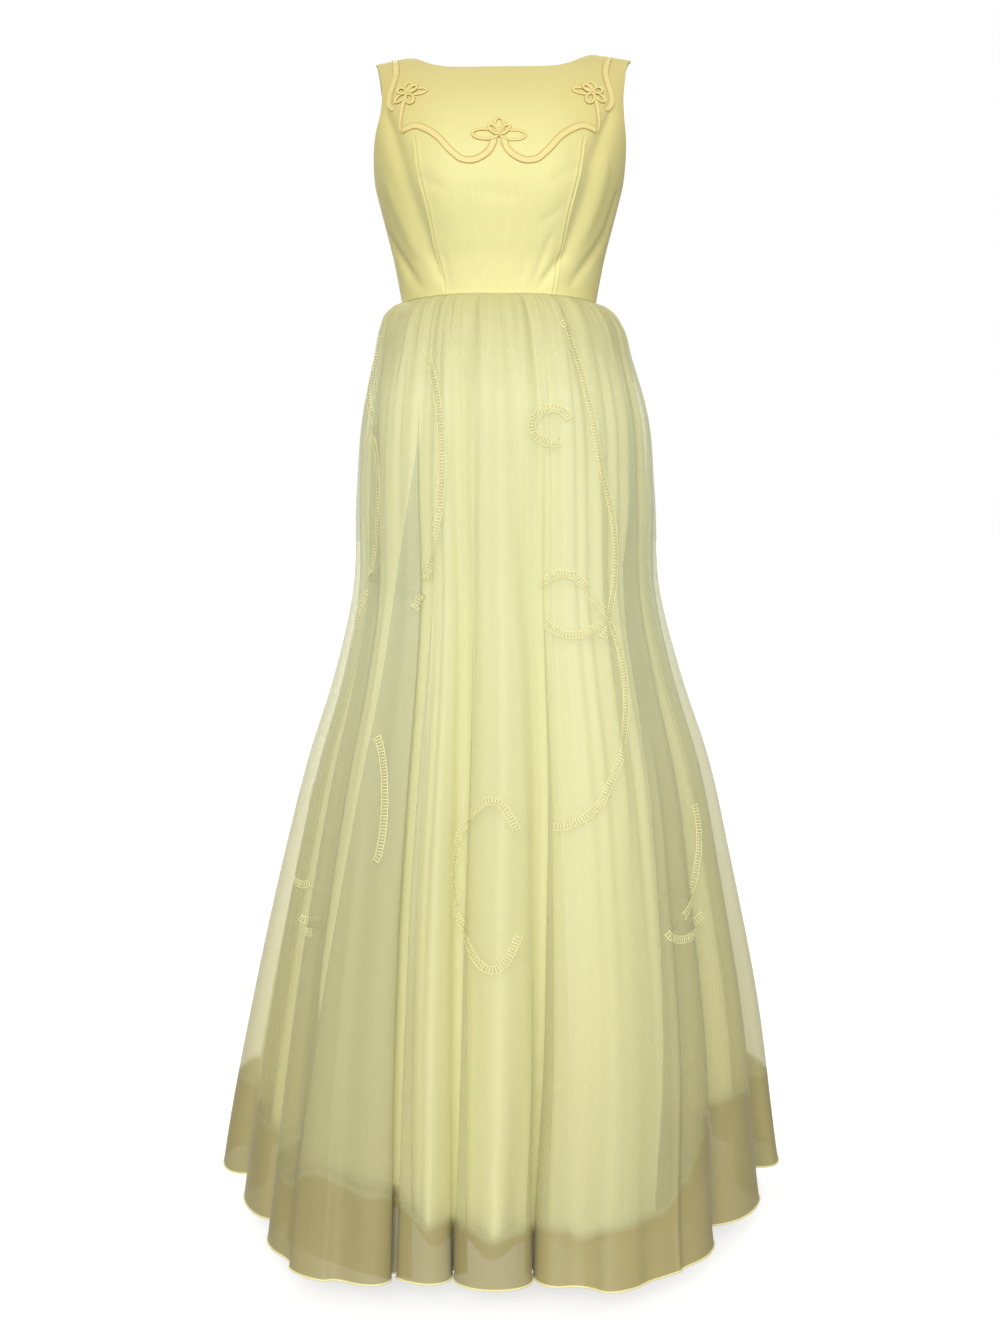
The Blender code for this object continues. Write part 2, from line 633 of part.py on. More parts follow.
def flat_hub():
    mesh_data = bmesh.new()
    bmesh.ops.create_cone(mesh_data, cap_ends=True, segments=12, radius1=HUB_RADIUS,
                          radius2=HUB_RADIUS * HUB_TOP_SHARE, depth=CORD_HEIGHT)
    bmesh.ops.translate(mesh_data, vec=(0, 0, CORD_HEIGHT / 2), verts=mesh_data.verts)
    return mesh_data


def build_motif(name, bed, x, z, side, loops, material):
    """Loops of cord round a small knot: joined flat, then laid on the front."""
    base = finish_mesh(name, flat_hub(), material)
    cutters = []
    for number, loop in enumerate(loops):
        turn = loop.turn if side > 0 else 180 - loop.turn
        cutter = finish_mesh(name + "_loop_" + str(number),
                             flat_loop(turn, loop.length, loop.breadth), material)
        joint = base.modifiers.new("join", "BOOLEAN")
        joint.operation = "UNION"
        joint.object = cutter
        cutters.append(cutter)
    joined = bmesh.new()
    joined.from_object(base, bpy.context.evaluated_depsgraph_get())
    base.modifiers.clear()
    for cutter in cutters:
        bpy.data.objects.remove(cutter, do_unlink=True)
    middle, normal = bed.place(x, z)
    across = Vector((0.0, 0.0, 1.0)).cross(-normal).normalized()
    across *= math.copysign(1.0, across.x)
    up = across.cross(normal)
    up *= math.copysign(1.0, up.z)
    for vert in joined.verts:
        flat = vert.co.copy()
        vert.co = bed.seat(middle + across * flat.x + up * flat.y, LAY_GAP + flat.z)
    bmesh.ops.recalc_face_normals(joined, faces=joined.faces)
    joined.to_mesh(base.data)
    joined.free()


def build_trim(material):
    bed = FrontBed()
    for side, label in ((-1, "left"), (1, "right")):
        build_braid("braid_shoulder_" + label, bed, SHOULDER_BRAID, side, material)
        build_braid("braid_scallop_" + label, bed, SCALLOP_BRAID, side, material)
        build_motif("motif_" + label, bed, side * SIDE_MOTIF_X, SIDE_MOTIF_Z, side, SIDE_LOOPS,
                    material)
    build_motif("motif_centre", bed, 0.0, CENTRE_MOTIF_Z, 1, CENTRE_LOOPS, material)


def back_levels():
    """Levels of the rows of points along the centre back edges."""
    return [level * BACK_NECK_LEVEL / TOP_LEVEL for level in PANEL_LEVELS]


def back_spine(level, x):
    """Point and normal on the straight runs between the centre back's rows."""
    levels = back_levels()
    above = next((i for i, row in enumerate(levels) if row >= level), len(levels) - 1)
    above = max(above, 1)
    low, high = levels[above - 1], levels[above]
    share = (level - low) / (high - low)
    angles = [math.copysign(back_opening_angle(row, abs(x)), x) for row in (low, high)]
    points = [body_point(row, angle) for row, angle in zip((low, high), angles)]
    normals = [body_normal(row, 180.0) for row in (low, high)]
    return points[0].lerp(points[1], share), normals[0].lerp(normals[1], share).normalized()


def level_below(level, distance):
    """The level on the centre back at a distance down the cloth."""
    here = back_spine(level, 0.0)[0]
    travelled = 0.0
    while travelled < distance:
        level -= WALK_STEP
        there = back_spine(level, 0.0)[0]
        travelled += (there - here).length
        here = there
    return level


def back_strip(name, x0, x1, top_level, out0, out1, material):
    """A strip down the centre back between two breadths, from the waist seam up."""
    levels = [level for level in back_levels() if level < top_level] + [top_level]
    grids = []
    for out in (out1, out0):
        grid = []
        for level in levels:
            row = []
            for x in (x0, x1):
                point, normal = back_spine(level, x)
                row.append(point + normal * out)
            grid.append(row)
        for point in grid[0]:
            point.z = WAIST_Z + SEAM_GAP / 2
        grids.append(grid)
    make_wall(name, grids[0], grids[1], material)


def slider_frame(level):
    """Axes on the centre back: X across, Y out of the cloth, Z up it."""
    point, normal = back_spine(level, 0.0)
    out = Vector((0.0, normal.y, normal.z)).normalized()
    across = Vector((1.0, 0.0, 0.0))
    up = across.cross(out).normalized()
    frame = Matrix((across, out, up)).transposed().to_4x4()
    frame.translation = Vector((0.0, point.y, point.z))
    return frame


def add_block(mesh_data, x, y0, y1, z0, z1):
    """A block across the middle, from its half breadth and its limits out and up."""
    made = bmesh.ops.create_cube(mesh_data, size=1.0)["verts"]
    bmesh.ops.scale(mesh_data, vec=(2 * x, y1 - y0, z1 - z0), verts=made)
    bmesh.ops.translate(mesh_data, vec=(0, (y0 + y1) / 2, (z0 + z1) / 2), verts=made)


def outline_plate(name, outline, thickness, material):
    """A plate in the X-Z plane, centred on Y, from closed outlines of points."""
    mesh_data = bmesh.new()
    front = [mesh_data.verts.new((x, thickness / 2, z)) for x, z in outline]
    back = [mesh_data.verts.new((x, -thickness / 2, z)) for x, z in outline]
    mesh_data.faces.new(front)
    mesh_data.faces.new(back)
    for i in range(len(outline)):
        j = (i + 1) % len(outline)
        mesh_data.faces.new((front[i], front[j], back[j], back[i]))
    return finish_mesh(name, mesh_data, material)


def build_slider(frame, metal):
    half_length = SLIDER_LENGTH / 2
    right_half = [(SLIDER_HALF_WIDTH * SLIDER_TAIL_SHARE, -half_length),
                  (SLIDER_HALF_WIDTH, half_length * SLIDER_CORNER_LOW),
                  (SLIDER_HALF_WIDTH, half_length * SLIDER_CORNER_HIGH),
                  (SLIDER_HALF_WIDTH * SLIDER_NOSE_SHARE, half_length)]
    outline = right_half + [(-x, z) for x, z in reversed(right_half)]
    slider = outline_plate("zip_slider", outline, SLIDER_UNDER + SLIDER_FACE, metal)
    shift = (SLIDER_FACE - SLIDER_UNDER) / 2
    for vert in slider.data.vertices:
        vert.co.y += shift
    bridge_data = bmesh.new()
    top = PULL_AXIS_OUT + BRIDGE_TOP
    add_block(bridge_data, BRIDGE_HALF_WIDTH, SLIDER_FACE - BRIDGE_ROOT, top, -BRIDGE_OUTER, BRIDGE_OUTER)
    bridge = finish_mesh("bridge", bridge_data, metal)
    window_data = bmesh.new()
    add_block(window_data, BRIDGE_OUTER, SLIDER_FACE, PULL_AXIS_OUT + BRIDGE_CLEAR,
              -BRIDGE_INNER, BRIDGE_INNER)
    window = finish_mesh("window", window_data, metal)
    for cutter, operation in ((bridge, "UNION"), (window, "DIFFERENCE")):
        step = slider.modifiers.new(operation.lower(), "BOOLEAN")
        step.operation = operation
        step.object = cutter
        cutter.hide_render = True
        cutter.display_type = "WIRE"
        cutter.parent = slider
    slider.matrix_world = frame


def build_pull(frame, metal):
    bar = PULL_THICK / 2
    slot_top = -bar
    slot_end = -PULL_SLOT_LENGTH
    end = [(PULL_END_HALF * math.sin(math.radians(turn)),
            -PULL_LENGTH + PULL_END_HALF - PULL_END_HALF * math.cos(math.radians(turn)))
           for turn in range(-90, 91, 30)]
    outline = [(PULL_TOP_HALF, bar), (-PULL_TOP_HALF, bar)] + end
    pull = outline_plate("zip_pull_tab", outline, PULL_THICK, metal)
    slot_data = bmesh.new()
    add_block(slot_data, PULL_SLOT_HALF, -PULL_THICK, PULL_THICK, slot_end, slot_top)
    slot = finish_mesh("slot", slot_data, metal)
    step = pull.modifiers.new("slot", "BOOLEAN")
    step.operation = "DIFFERENCE"
    step.object = slot
    slot.hide_render = True
    slot.display_type = "WIRE"
    slot.parent = pull
    pull.matrix_world = frame @ Matrix.Translation((0.0, PULL_AXIS_OUT, 0.0))


def build_zip(tape_material, chain_material, metal):
    tape_top = level_below(BACK_NECK_LEVEL, ZIP_TOP_MARGIN / 2)
    slider_level = level_below(BACK_NECK_LEVEL, ZIP_TOP_MARGIN + SLIDER_LENGTH / 2)
    chain_top = level_below(slider_level, SLIDER_LENGTH / 2 + SEAM_GAP)
    under = -BODICE_WALL - SEAM_GAP
    for side, label in ((-1, "left"), (1, "right")):
        edges = sorted((side * SEAM_GAP / 2, side * TAPE_HALF_WIDTH))
        back_strip("zip_tape_" + label, edges[0], edges[1], tape_top,
                   under - TAPE_THICK, under, tape_material)
    back_strip("zip_chain", -CHAIN_HALF_WIDTH, CHAIN_HALF_WIDTH, chain_top,
               -BODICE_WALL, CHAIN_THICK - BODICE_WALL, chain_material)
    frame = slider_frame(slider_level)
    build_slider(frame, metal)
    build_pull(frame, metal)


def build_gown():
    clear_scene()
    crepe = make_material("crepe", (0.86, 0.80, 0.42), 0.75)
    sheer = make_material("sheer", (0.78, 0.76, 0.48), 0.55)
    taffeta = make_material("taffeta", (0.84, 0.83, 0.50), 0.35)
    braid = make_material("braid", (0.86, 0.76, 0.40), 0.60)
    tape = make_material("zip_tape", (0.80, 0.75, 0.42), 0.80)
    chain = make_material("zip_chain", (0.70, 0.66, 0.50), 0.35, 0.9)
    metal = make_material("zip_metal", (0.72, 0.70, 0.62), 0.30, 1.0)
    build_bodice_front(crepe)
    build_side_fronts(crepe)
    build_bodice_backs(crepe)
    build_overskirt(sheer)
    build_underskirt(taffeta)
    build_trim(braid)
    build_zip(tape, chain, metal)


build_gown()
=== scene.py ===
import math
import random

import bpy
import numpy as np
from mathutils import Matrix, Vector
from mathutils.bvhtree import BVHTree


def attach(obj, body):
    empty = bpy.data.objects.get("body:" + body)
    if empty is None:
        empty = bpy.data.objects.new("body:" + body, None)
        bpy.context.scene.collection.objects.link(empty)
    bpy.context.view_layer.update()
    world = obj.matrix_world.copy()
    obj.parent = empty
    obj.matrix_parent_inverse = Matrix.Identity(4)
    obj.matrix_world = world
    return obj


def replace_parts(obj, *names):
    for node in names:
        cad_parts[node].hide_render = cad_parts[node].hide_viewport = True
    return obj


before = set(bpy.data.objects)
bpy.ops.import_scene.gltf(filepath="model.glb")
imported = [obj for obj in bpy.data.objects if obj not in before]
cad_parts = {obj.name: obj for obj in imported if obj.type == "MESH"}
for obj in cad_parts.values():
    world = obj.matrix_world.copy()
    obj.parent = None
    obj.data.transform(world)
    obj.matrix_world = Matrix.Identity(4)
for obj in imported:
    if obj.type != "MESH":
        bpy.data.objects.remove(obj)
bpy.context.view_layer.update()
print("frame loaded")

# camera at the photograph's height and tilt
view = {"lens": 45.91, "sensor": 36.0, "place": (0.0013, -2.27, -0.557), "tiltDown": 5.927, "end": 60.0}


def addObject(name, data):
    added = bpy.data.objects.new(name, data)
    bpy.context.scene.collection.objects.link(added)
    return added


def addCamera():
    lens = bpy.data.cameras.new("camera")
    lens.lens = view["lens"]
    lens.sensor_width = view["sensor"]
    lens.clip_end = view["end"]
    camera = addObject("camera", lens)
    camera.location = view["place"]
    camera.rotation_euler = (math.radians(90.0 - view["tiltDown"]), 0.0, 0.0)
    bpy.context.scene.camera = camera


addCamera()


# shader maths: a wire wraps one output socket
class Wire:
    def __init__(self, finish, socket):
        self.finish = finish
        self.socket = socket

    def maths(self, operation, first, second):
        return self.finish.node("ShaderNodeMath", {"operation": operation}, {0: first, 1: second})

    def __add__(self, other):
        return self.maths("ADD", self, other)

    def __radd__(self, other):
        return self.maths("ADD", other, self)

    def __sub__(self, other):
        return self.maths("SUBTRACT", self, other)

    def __rsub__(self, other):
        return self.maths("SUBTRACT", other, self)

    def __mul__(self, other):
        return self.maths("MULTIPLY", self, other)

    def __rmul__(self, other):
        return self.maths("MULTIPLY", other, self)


# a material, with one method that makes any node: kind, settings, then its sockets' values or links
class Finish:
    def __init__(self, name, slot, **constants):
        self.material = bpy.data.materials.new(name)
        self.material.use_nodes = True
        self.slot = slot
        self.tree = self.material.node_tree
        self.shader = self.tree.nodes["Principled BSDF"]
        for socket, value in constants.items():
            self.shader.inputs[socket.replace("_", " ")].default_value = value

    def node(self, kind, settings=None, values=None, output=0):
        made = self.tree.nodes.new(kind)
        for key, value in (settings or {}).items():
            setattr(made, key, value)
        for key, value in (values or {}).items():
            self.feed(made.inputs[key], value)
        return Wire(self, made.outputs[output])

    def feed(self, socket, value):
        if isinstance(value, Wire):
            self.tree.links.new(value.socket, socket)
        else:
            socket.default_value = value

    def set(self, socket, value):
        self.feed(self.shader.inputs[socket], value)

    def mix(self, factor, first, second):
        return self.node("ShaderNodeMix", {"data_type": "RGBA"}, {0: factor, 6: first, 7: second}, 2)

    # rises from 0 at the first value to 1 at the last
    def between(self, value, ends):
        return self.node("ShaderNodeMapRange", None, {0: value, 1: ends[0], 2: ends[1]})

    def breadth(self, value):
        return self.node("ShaderNodeMath", {"operation": "ABSOLUTE"}, {0: value})

    def split(self, vector):
        parts = self.node("ShaderNodeSeparateXYZ", None, {0: vector})
        outputs = parts.socket.node.outputs
        return [Wire(self, outputs[axis]) for axis in range(3)]

    def place(self):
        return self.node("ShaderNodeTexCoord", None, None, 3)

    # places on the cloth in metres, times a scale each way
    def cloth(self, scales=(1.0, 1.0)):
        uv = self.node("ShaderNodeUVMap", {"uv_map": "cloth"})
        return self.node("ShaderNodeVectorMath", {"operation": "MULTIPLY"}, {0: uv, 1: (*scales, 1.0)})

    def noise(self, vector, scale=1.0, detail=2.0, roughness=0.5):
        values = {"Vector": vector, "Scale": scale, "Detail": detail, "Roughness": roughness}
        return self.node("ShaderNodeTexNoise", None, values)

    def threads(self, spacing, direction="X"):
        wave = {"Vector": self.cloth(), "Scale": 1.0 / (math.pi * spacing), "Distortion": 0.0, "Detail": 0.0}
        settings = {"wave_type": "BANDS", "bands_direction": direction, "wave_profile": "SIN"}
        return self.node("ShaderNodeTexWave", settings, wave, 1)

    def bump(self, height, strength, distance):
        values = {"Strength": strength, "Distance": distance, "Height": height}
        self.set("Normal", self.node("ShaderNodeBump", None, values))


# a colour as on the screen, 0 to 255, in the linear values that sockets take
def paint(colour):
    linear = []
    for value in colour:
        share = value / 255.0
        linear.append(share / 12.92 if share <= 0.04045 else ((share + 0.055) / 1.055) ** 2.4)
    return (*linear, 1.0)


# cloth of the bodice: matte crepe with slubs down the grain, deeper in colour at the yoke, with painted shade
# that darkens it towards the sides
crepe = {
    "main": (237, 233, 166), "slub": (218, 208, 134), "yoke": (211, 196, 126), "side": (216, 205, 130),
    "yokeZ": (-0.17, -0.06), "yokeShare": 0.75, "sideX": (0.06, 0.13), "sideShadeShare": 0.7,
    "slubs": (625.0, 20.0), "slubRange": (0.42, 0.72), "slubShare": 0.2,
    "clouds": (9.0, 6.0), "cloudShare": 0.16, "warp": 0.0009, "weft": 0.00099,
    "weaveHigh": 0.3, "slubHigh": 0.3, "bump": (0.3, 0.0004),
}


def crepeFinish():
    finish = Finish("crepe", "crepe", Roughness=0.78, Sheen_Weight=0.15, Sheen_Roughness=0.5)
    slubs = finish.between(finish.noise(finish.cloth(crepe["slubs"]), detail=3.0), crepe["slubRange"])
    clouds = finish.noise(finish.cloth(crepe["clouds"]), detail=3.0)
    x, y, z = finish.split(finish.place())
    yoke = finish.between(z, crepe["yokeZ"])
    # painted shade: the crepe darkens from the centre front towards the sides
    side = finish.between(finish.breadth(x), crepe["sideX"])
    colour = finish.mix(side * crepe["sideShadeShare"], paint(crepe["main"]), paint(crepe["side"]))
    colour = finish.mix(yoke * crepe["yokeShare"], colour, paint(crepe["yoke"]))
    colour = finish.mix(slubs * crepe["slubShare"], colour, paint(crepe["slub"]))
    colour = finish.mix(clouds * crepe["cloudShare"], colour, paint(crepe["slub"]))
    finish.set("Base Color", colour)
    weave = finish.threads(crepe["warp"]) + finish.threads(crepe["weft"], "Y")
    finish.bump(weave * crepe["weaveHigh"] + slubs * crepe["slubHigh"], *crepe["bump"])
    return finish


# sheer organza with faint streaks: it hides more at the waist, the sides and below the lining's hem; it
# carries painted shade below the lining's hem and lower down, and painted light at the lower front
organza = {
    "main": (226, 228, 190), "pale": (232, 235, 200), "low": (212, 203, 140), "hem": (176, 165, 112),
    "top": (218, 212, 155), "streakShare": 0.2, "lowShare": 0.85, "lowFront": 0.35, "topShare": 0.8,
    "lowZ": (-0.70, -1.40), "sideX": (0.12, 0.34), "hemShadeAbove": (0.016, 0.004), "topZ": (-0.44, -0.325),
    "frontLightY": (-0.22, -0.34), "rightX": (0.015, 0.06),
    "streaks": (160.0, 2.5), "streakRange": (0.35, 0.68), "fine": (600.0, 60.0), "patches": (16.0, 9.0),
    "cover": 0.26, "streakCover": 0.02, "hemShadeCover": 0.47, "hemShadePatches": 0.3, "topCover": 0.14,
    "sideCover": 0.12, "frontLightThin": 0.05, "rightCover": 0.18, "thread": 0.0011,
    "weaveHigh": 0.3, "fineHigh": 0.1, "bump": (0.05, 0.0002),
}


def organzaFinish():
    finish = Finish("organza", "sheer", Roughness=0.6, Sheen_Weight=0.2, Sheen_Roughness=0.35)
    streaks = finish.noise(finish.cloth(organza["streaks"]), detail=4.0, roughness=0.6)
    streaks = finish.between(streaks, organza["streakRange"])
    fine = finish.noise(finish.cloth(organza["fine"]), detail=2.0)
    patches = finish.noise(finish.cloth(organza["patches"]), detail=1.0)
    x, y, z = finish.split(finish.place())
    low = finish.between(z, organza["lowZ"])
    top = finish.between(z, organza["topZ"])
    side = finish.between(finish.breadth(x), organza["sideX"])
    right = finish.between(x, organza["rightX"])
    front = finish.between(y, organza["frontLightY"])
    above = finish.split(finish.node("ShaderNodeUVMap", {"uv_map": "aboveLiningHem"}))[1]
    # painted shade: below the lining's hem the organza turns khaki and hides more, standing in for the
    # shadowed inside of the skirt
    hem = finish.between(above, organza["hemShadeAbove"])
    colour = finish.mix(streaks * organza["streakShare"], paint(organza["main"]), paint(organza["pale"]))
    # painted shade: the organza darkens lower down, less at the front, where the light falls
    lowShare = low * (organza["lowShare"] - front * organza["lowFront"])
    colour = finish.mix(lowShare, colour, paint(organza["low"]))
    colour = finish.mix(hem, colour, paint(organza["hem"]))
    colour = finish.mix(top * organza["topShare"], colour, paint(organza["top"]))
    finish.set("Base Color", colour)
    cover = organza["cover"] + (streaks + fine - 0.5) * organza["streakCover"]
    cover = cover + hem * (organza["hemShadeCover"] + (patches - 0.5) * organza["hemShadePatches"])
    cover = cover + top * organza["topCover"] + side * organza["sideCover"]
    # painted light: lower down the veil thins at the front, so the lining shows brighter where the light
    # falls, and it thickens just right of the centre
    cover = cover + low * front * (right * organza["rightCover"] - organza["frontLightThin"])
    finish.set("Alpha", cover)
    weave = finish.threads(organza["thread"]) + finish.threads(organza["thread"], "Y")
    finish.bump(weave * organza["weaveHigh"] + fine * organza["fineHigh"], *organza["bump"])
    return finish


# lining: plain taffeta with a lustre and a faint rib across
taffeta = {"main": (251, 249, 198), "shade": (245, 242, 182), "streaks": (30.0, 1.2),
           "crinkles": (14.0, 5.0), "roughness": 0.40, "crinkleRoughness": 0.14, "rib": 0.0012,
           "crinkleHigh": 3.0, "ribHigh": 0.12, "bump": (0.4, 0.0012)}


def taffetaFinish():
    finish = Finish("taffeta", "taffeta", Sheen_Weight=0.1, Specular_IOR_Level=0.5)
    streaks = finish.noise(finish.cloth(taffeta["streaks"]), detail=3.0)
    finish.set("Base Color", finish.mix(streaks, paint(taffeta["main"]), paint(taffeta["shade"])))
    crinkles = finish.noise(finish.cloth(taffeta["crinkles"]), detail=3.0, roughness=0.55)
    finish.set("Roughness", taffeta["roughness"] + crinkles * taffeta["crinkleRoughness"])
    ribs = finish.threads(taffeta["rib"], "Y")
    finish.bump(crinkles * taffeta["crinkleHigh"] + ribs * taffeta["ribHigh"], *taffeta["bump"])
    return finish


# braid: padded, whipped with fine thread across, with painted shade darkening it along its edges
braid = {"main": (234, 222, 150), "dark": (228, 212, 140), "edge": (208, 182, 110),
         "edgeShadeAt": (0.0030, 0.0040), "edgeShadeShare": 0.85, "mottle": (220.0, 220.0), "whip": 0.0011,
         "whipShare": 0.5, "mottleShare": 0.4, "whipHigh": 0.5, "mottleHigh": 0.5, "bump": (0.4, 0.0003)}


def braidFinish():
    finish = Finish("braid", "braid", Roughness=0.55, Sheen_Weight=0.3, Sheen_Roughness=0.4)
    whip = finish.threads(braid["whip"])
    mottle = finish.noise(finish.cloth(braid["mottle"]), detail=3.0)
    shade = whip * braid["whipShare"] + mottle * braid["mottleShare"]
    colour = finish.mix(shade, paint(braid["dark"]), paint(braid["main"]))
    # painted shade along the band's edges, where the padded braid curves down
    edge = finish.between(finish.breadth(finish.split(finish.cloth())[1]), braid["edgeShadeAt"])
    finish.set("Base Color", finish.mix(edge * braid["edgeShadeShare"], colour, paint(braid["edge"])))
    finish.bump(whip * braid["whipHigh"] + mottle * braid["mottleHigh"], *braid["bump"])
    return finish


# embroidery thread of the scrolls and the rolled hem
thread = {"main": (249, 244, 188), "dark": (234, 226, 156), "mottle": (120.0, 120.0), "twist": 0.0009,
          "twistShare": 0.4, "mottleShare": 0.3, "bump": (0.4, 0.0002)}


def threadFinish():
    finish = Finish("thread", "sheer", Roughness=0.42, Sheen_Weight=0.3, Sheen_Roughness=0.3)
    twist = finish.threads(thread["twist"])
    mottle = finish.noise(finish.cloth(thread["mottle"]), detail=2.0)
    shade = twist * thread["twistShare"] + mottle * thread["mottleShare"]
    finish.set("Base Color", finish.mix(shade, paint(thread["main"]), paint(thread["dark"])))
    finish.bump(twist, *thread["bump"])
    return finish


# the zip's woven tapes
zipTape = {"main": (232, 222, 150), "dark": (216, 204, 132), "thread": 0.0008, "weaveShare": 0.5,
           "bump": (0.4, 0.0002)}


def tapeFinish():
    finish = Finish("zipTape", "zip_tape", Roughness=0.8)
    weave = finish.threads(zipTape["thread"]) + finish.threads(zipTape["thread"], "Y")
    shade = weave * zipTape["weaveShare"]
    finish.set("Base Color", finish.mix(shade, paint(zipTape["main"]), paint(zipTape["dark"])))
    finish.bump(weave, *zipTape["bump"])
    return finish


# metal of the zip: bright and dull colours of the teeth, then of the slider and pull tab
zipMetal = {"teeth": ((240, 232, 200), (212, 202, 164)), "slider": ((222, 218, 204), (182, 176, 158)),
            "grain": 900.0, "roughness": 0.26, "wornRoughness": 0.2, "bump": (0.15, 0.0001)}


def metalFinish(name, slot, bright, dull):
    finish = Finish(name, slot, Metallic=1.0)
    wear = finish.noise(finish.place(), zipMetal["grain"], 3.0)
    finish.set("Base Color", finish.mix(wear, paint(bright), paint(dull)))
    finish.set("Roughness", zipMetal["roughness"] + wear * zipMetal["wornRoughness"])
    finish.bump(wear, *zipMetal["bump"])
    return finish


finishes = {
    "crepe": crepeFinish(), "organza": organzaFinish(), "taffeta": taffetaFinish(),
    "braid": braidFinish(), "thread": threadFinish(), "tape": tapeFinish(),
    "teeth": metalFinish("zipTeeth", "zip_chain", *zipMetal["teeth"]),
    "metal": metalFinish("zipMetal", "zip_metal", *zipMetal["slider"]),
}
print("finishes made")


# a smooth curve through values at rising places
def smoothCurve(places, values):
    places = np.array(places, float)
    values = np.array(values, float)
    slopes = np.gradient(values, places)

    def valueAt(place):
        place = np.clip(place, places[0], places[-1])
        index = np.clip(np.searchsorted(places, place, side="right") - 1, 0, len(places) - 2)
        span = places[index + 1] - places[index]
        t = (place - places[index]) / span
        start = (1 + 2 * t) * (1 - t) ** 2 * values[index] + t * (1 - t) ** 2 * span * slopes[index]
        end = t * t * (3 - 2 * t) * values[index + 1]
        return start + end + t * t * (t - 1) * span * slopes[index + 1]

    return valueAt


# a texture layer from one place for each vertex
def layPlaces(mesh, name, places):
    layer = mesh.uv_layers.new(name=name)
    corner = np.zeros(len(mesh.loops), int)
    mesh.loops.foreach_get("vertex_index", corner)
    layer.uv.foreach_set("vector", np.asarray(places, float)[corner].ravel())


def makePiece(name, verts, faces, uvs, finish):
    mesh = bpy.data.meshes.new(name)
    mesh.from_pydata(np.asarray(verts).tolist(), [], faces)
    layPlaces(mesh, "cloth", uvs)
    mesh.materials.append(finishes[finish].material)
    mesh.shade_smooth()
    piece = addObject(name, mesh)
    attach(piece, "gown")
    return piece


def lengthsAlong(points, axis):
    steps = np.linalg.norm(np.diff(points, axis=axis), axis=2)
    zero = np.zeros_like(np.take(steps, [0], axis=axis))
    return np.concatenate([zero, np.cumsum(steps, axis=axis)], axis=axis)


def lengthsDown(path):
    return np.concatenate([[0.0], np.cumsum(np.linalg.norm(np.diff(path, axis=0), axis=1))])


def unit(vectors):
    return vectors / np.maximum(np.linalg.norm(vectors, axis=-1, keepdims=True), 1e-12)


def gridNormals(points):
    return unit(np.cross(np.gradient(points, axis=1), np.gradient(points, axis=0)))


def gridFaces(rows, columns):
    r, c = np.meshgrid(np.arange(rows - 1), np.arange(columns - 1), indexing="ij")
    corner = (r * columns + c).ravel()
    return np.stack([corner, corner + 1, corner + columns + 1, corner + columns], axis=1)


def shellFaces(rows, columns):
    count = rows * columns
    outer = gridFaces(rows, columns)
    inner = outer[:, ::-1] + count
    bottom = np.arange(columns)
    top = bottom + (rows - 1) * columns
    left = np.arange(rows) * columns
    right = left + columns - 1
    rims = []
    for edge, flip in ((bottom, False), (top, True), (left, True), (right, False)):
        a, b = edge[:-1], edge[1:]
        rim = np.stack([a + count, b + count, b, a], axis=1)
        rims.append(rim[:, ::-1] if flip else rim)
    return np.concatenate([outer, inner] + rims).tolist()


thinnestEdge = 0.06  # of a cloth's thickness


# cloth of a given thickness inside a grid of points, with rounded edges
def clothShell(name, points, thickness, rounding, uvs, finish):
    rows, columns = points.shape[:2]
    normals = gridNormals(points)
    across = lengthsAlong(points, 1)
    upward = lengthsAlong(points, 0)
    edge = np.minimum(np.minimum(across, across[:, -1:] - across),
                      np.minimum(upward, upward[-1:, :] - upward))
    share = np.clip(edge / rounding, 0.0, 1.0)
    half = (thickness / 2 * np.maximum(np.sqrt(1 - (1 - share) ** 2), thinnestEdge))[..., None]
    middle = points - normals * thickness / 2
    verts = np.concatenate([(middle + normals * half).reshape(-1, 3),
                            (middle - normals * half).reshape(-1, 3)])
    flat = uvs.reshape(-1, 2)
    return makePiece(name, verts, shellFaces(rows, columns), np.concatenate([flat, flat]), finish)


def gridUvs(points):
    middle = points.shape[1] // 2
    across = lengthsAlong(points, 1)
    across = across - across[:, middle:middle + 1]
    return np.stack([across, lengthsAlong(points, 0)], axis=2)


tubeSide = 0.001  # breadth of a tube's side on its texture


# a band or tube through rings of points: closed in a loop, or capped at both ends
def ringMesh(rings, closed, across=None):
    rings = np.asarray(rings, float)
    count, size = rings.shape[:2]
    faces = []
    for i in range(count if closed else count - 1):
        first, second = i * size, ((i + 1) % count) * size
        for j in range(size):
            k = (j + 1) % size
            faces.append((first + j, first + k, second + k, second + j))
    if not closed:
        faces.append(tuple(range(size - 1, -1, -1)))
        faces.append(tuple(range((count - 1) * size, count * size)))
    uvs = np.zeros((count, size, 2))
    uvs[:, :, 0] = lengthsDown(rings.mean(axis=1))[:, None]
    uvs[:, :, 1] = np.arange(size) * tubeSide if across is None else across
    return rings.reshape(-1, 3), faces, uvs.reshape(-1, 2)


# parts joined into one piece
class Parts:
    def __init__(self):
        self.verts, self.faces, self.uvs, self.count = [], [], [], 0

    def add(self, verts, faces, uvs):
        self.verts.append(np.asarray(verts, float).reshape(-1, 3))
        self.faces += [tuple(corner + self.count for corner in face) for face in faces]
        self.uvs.append(np.asarray(uvs, float).reshape(-1, 2))
        self.count += len(self.verts[-1])

    def piece(self, name, finish):
        return makePiece(name, np.concatenate(self.verts), self.faces, np.concatenate(self.uvs), finish)


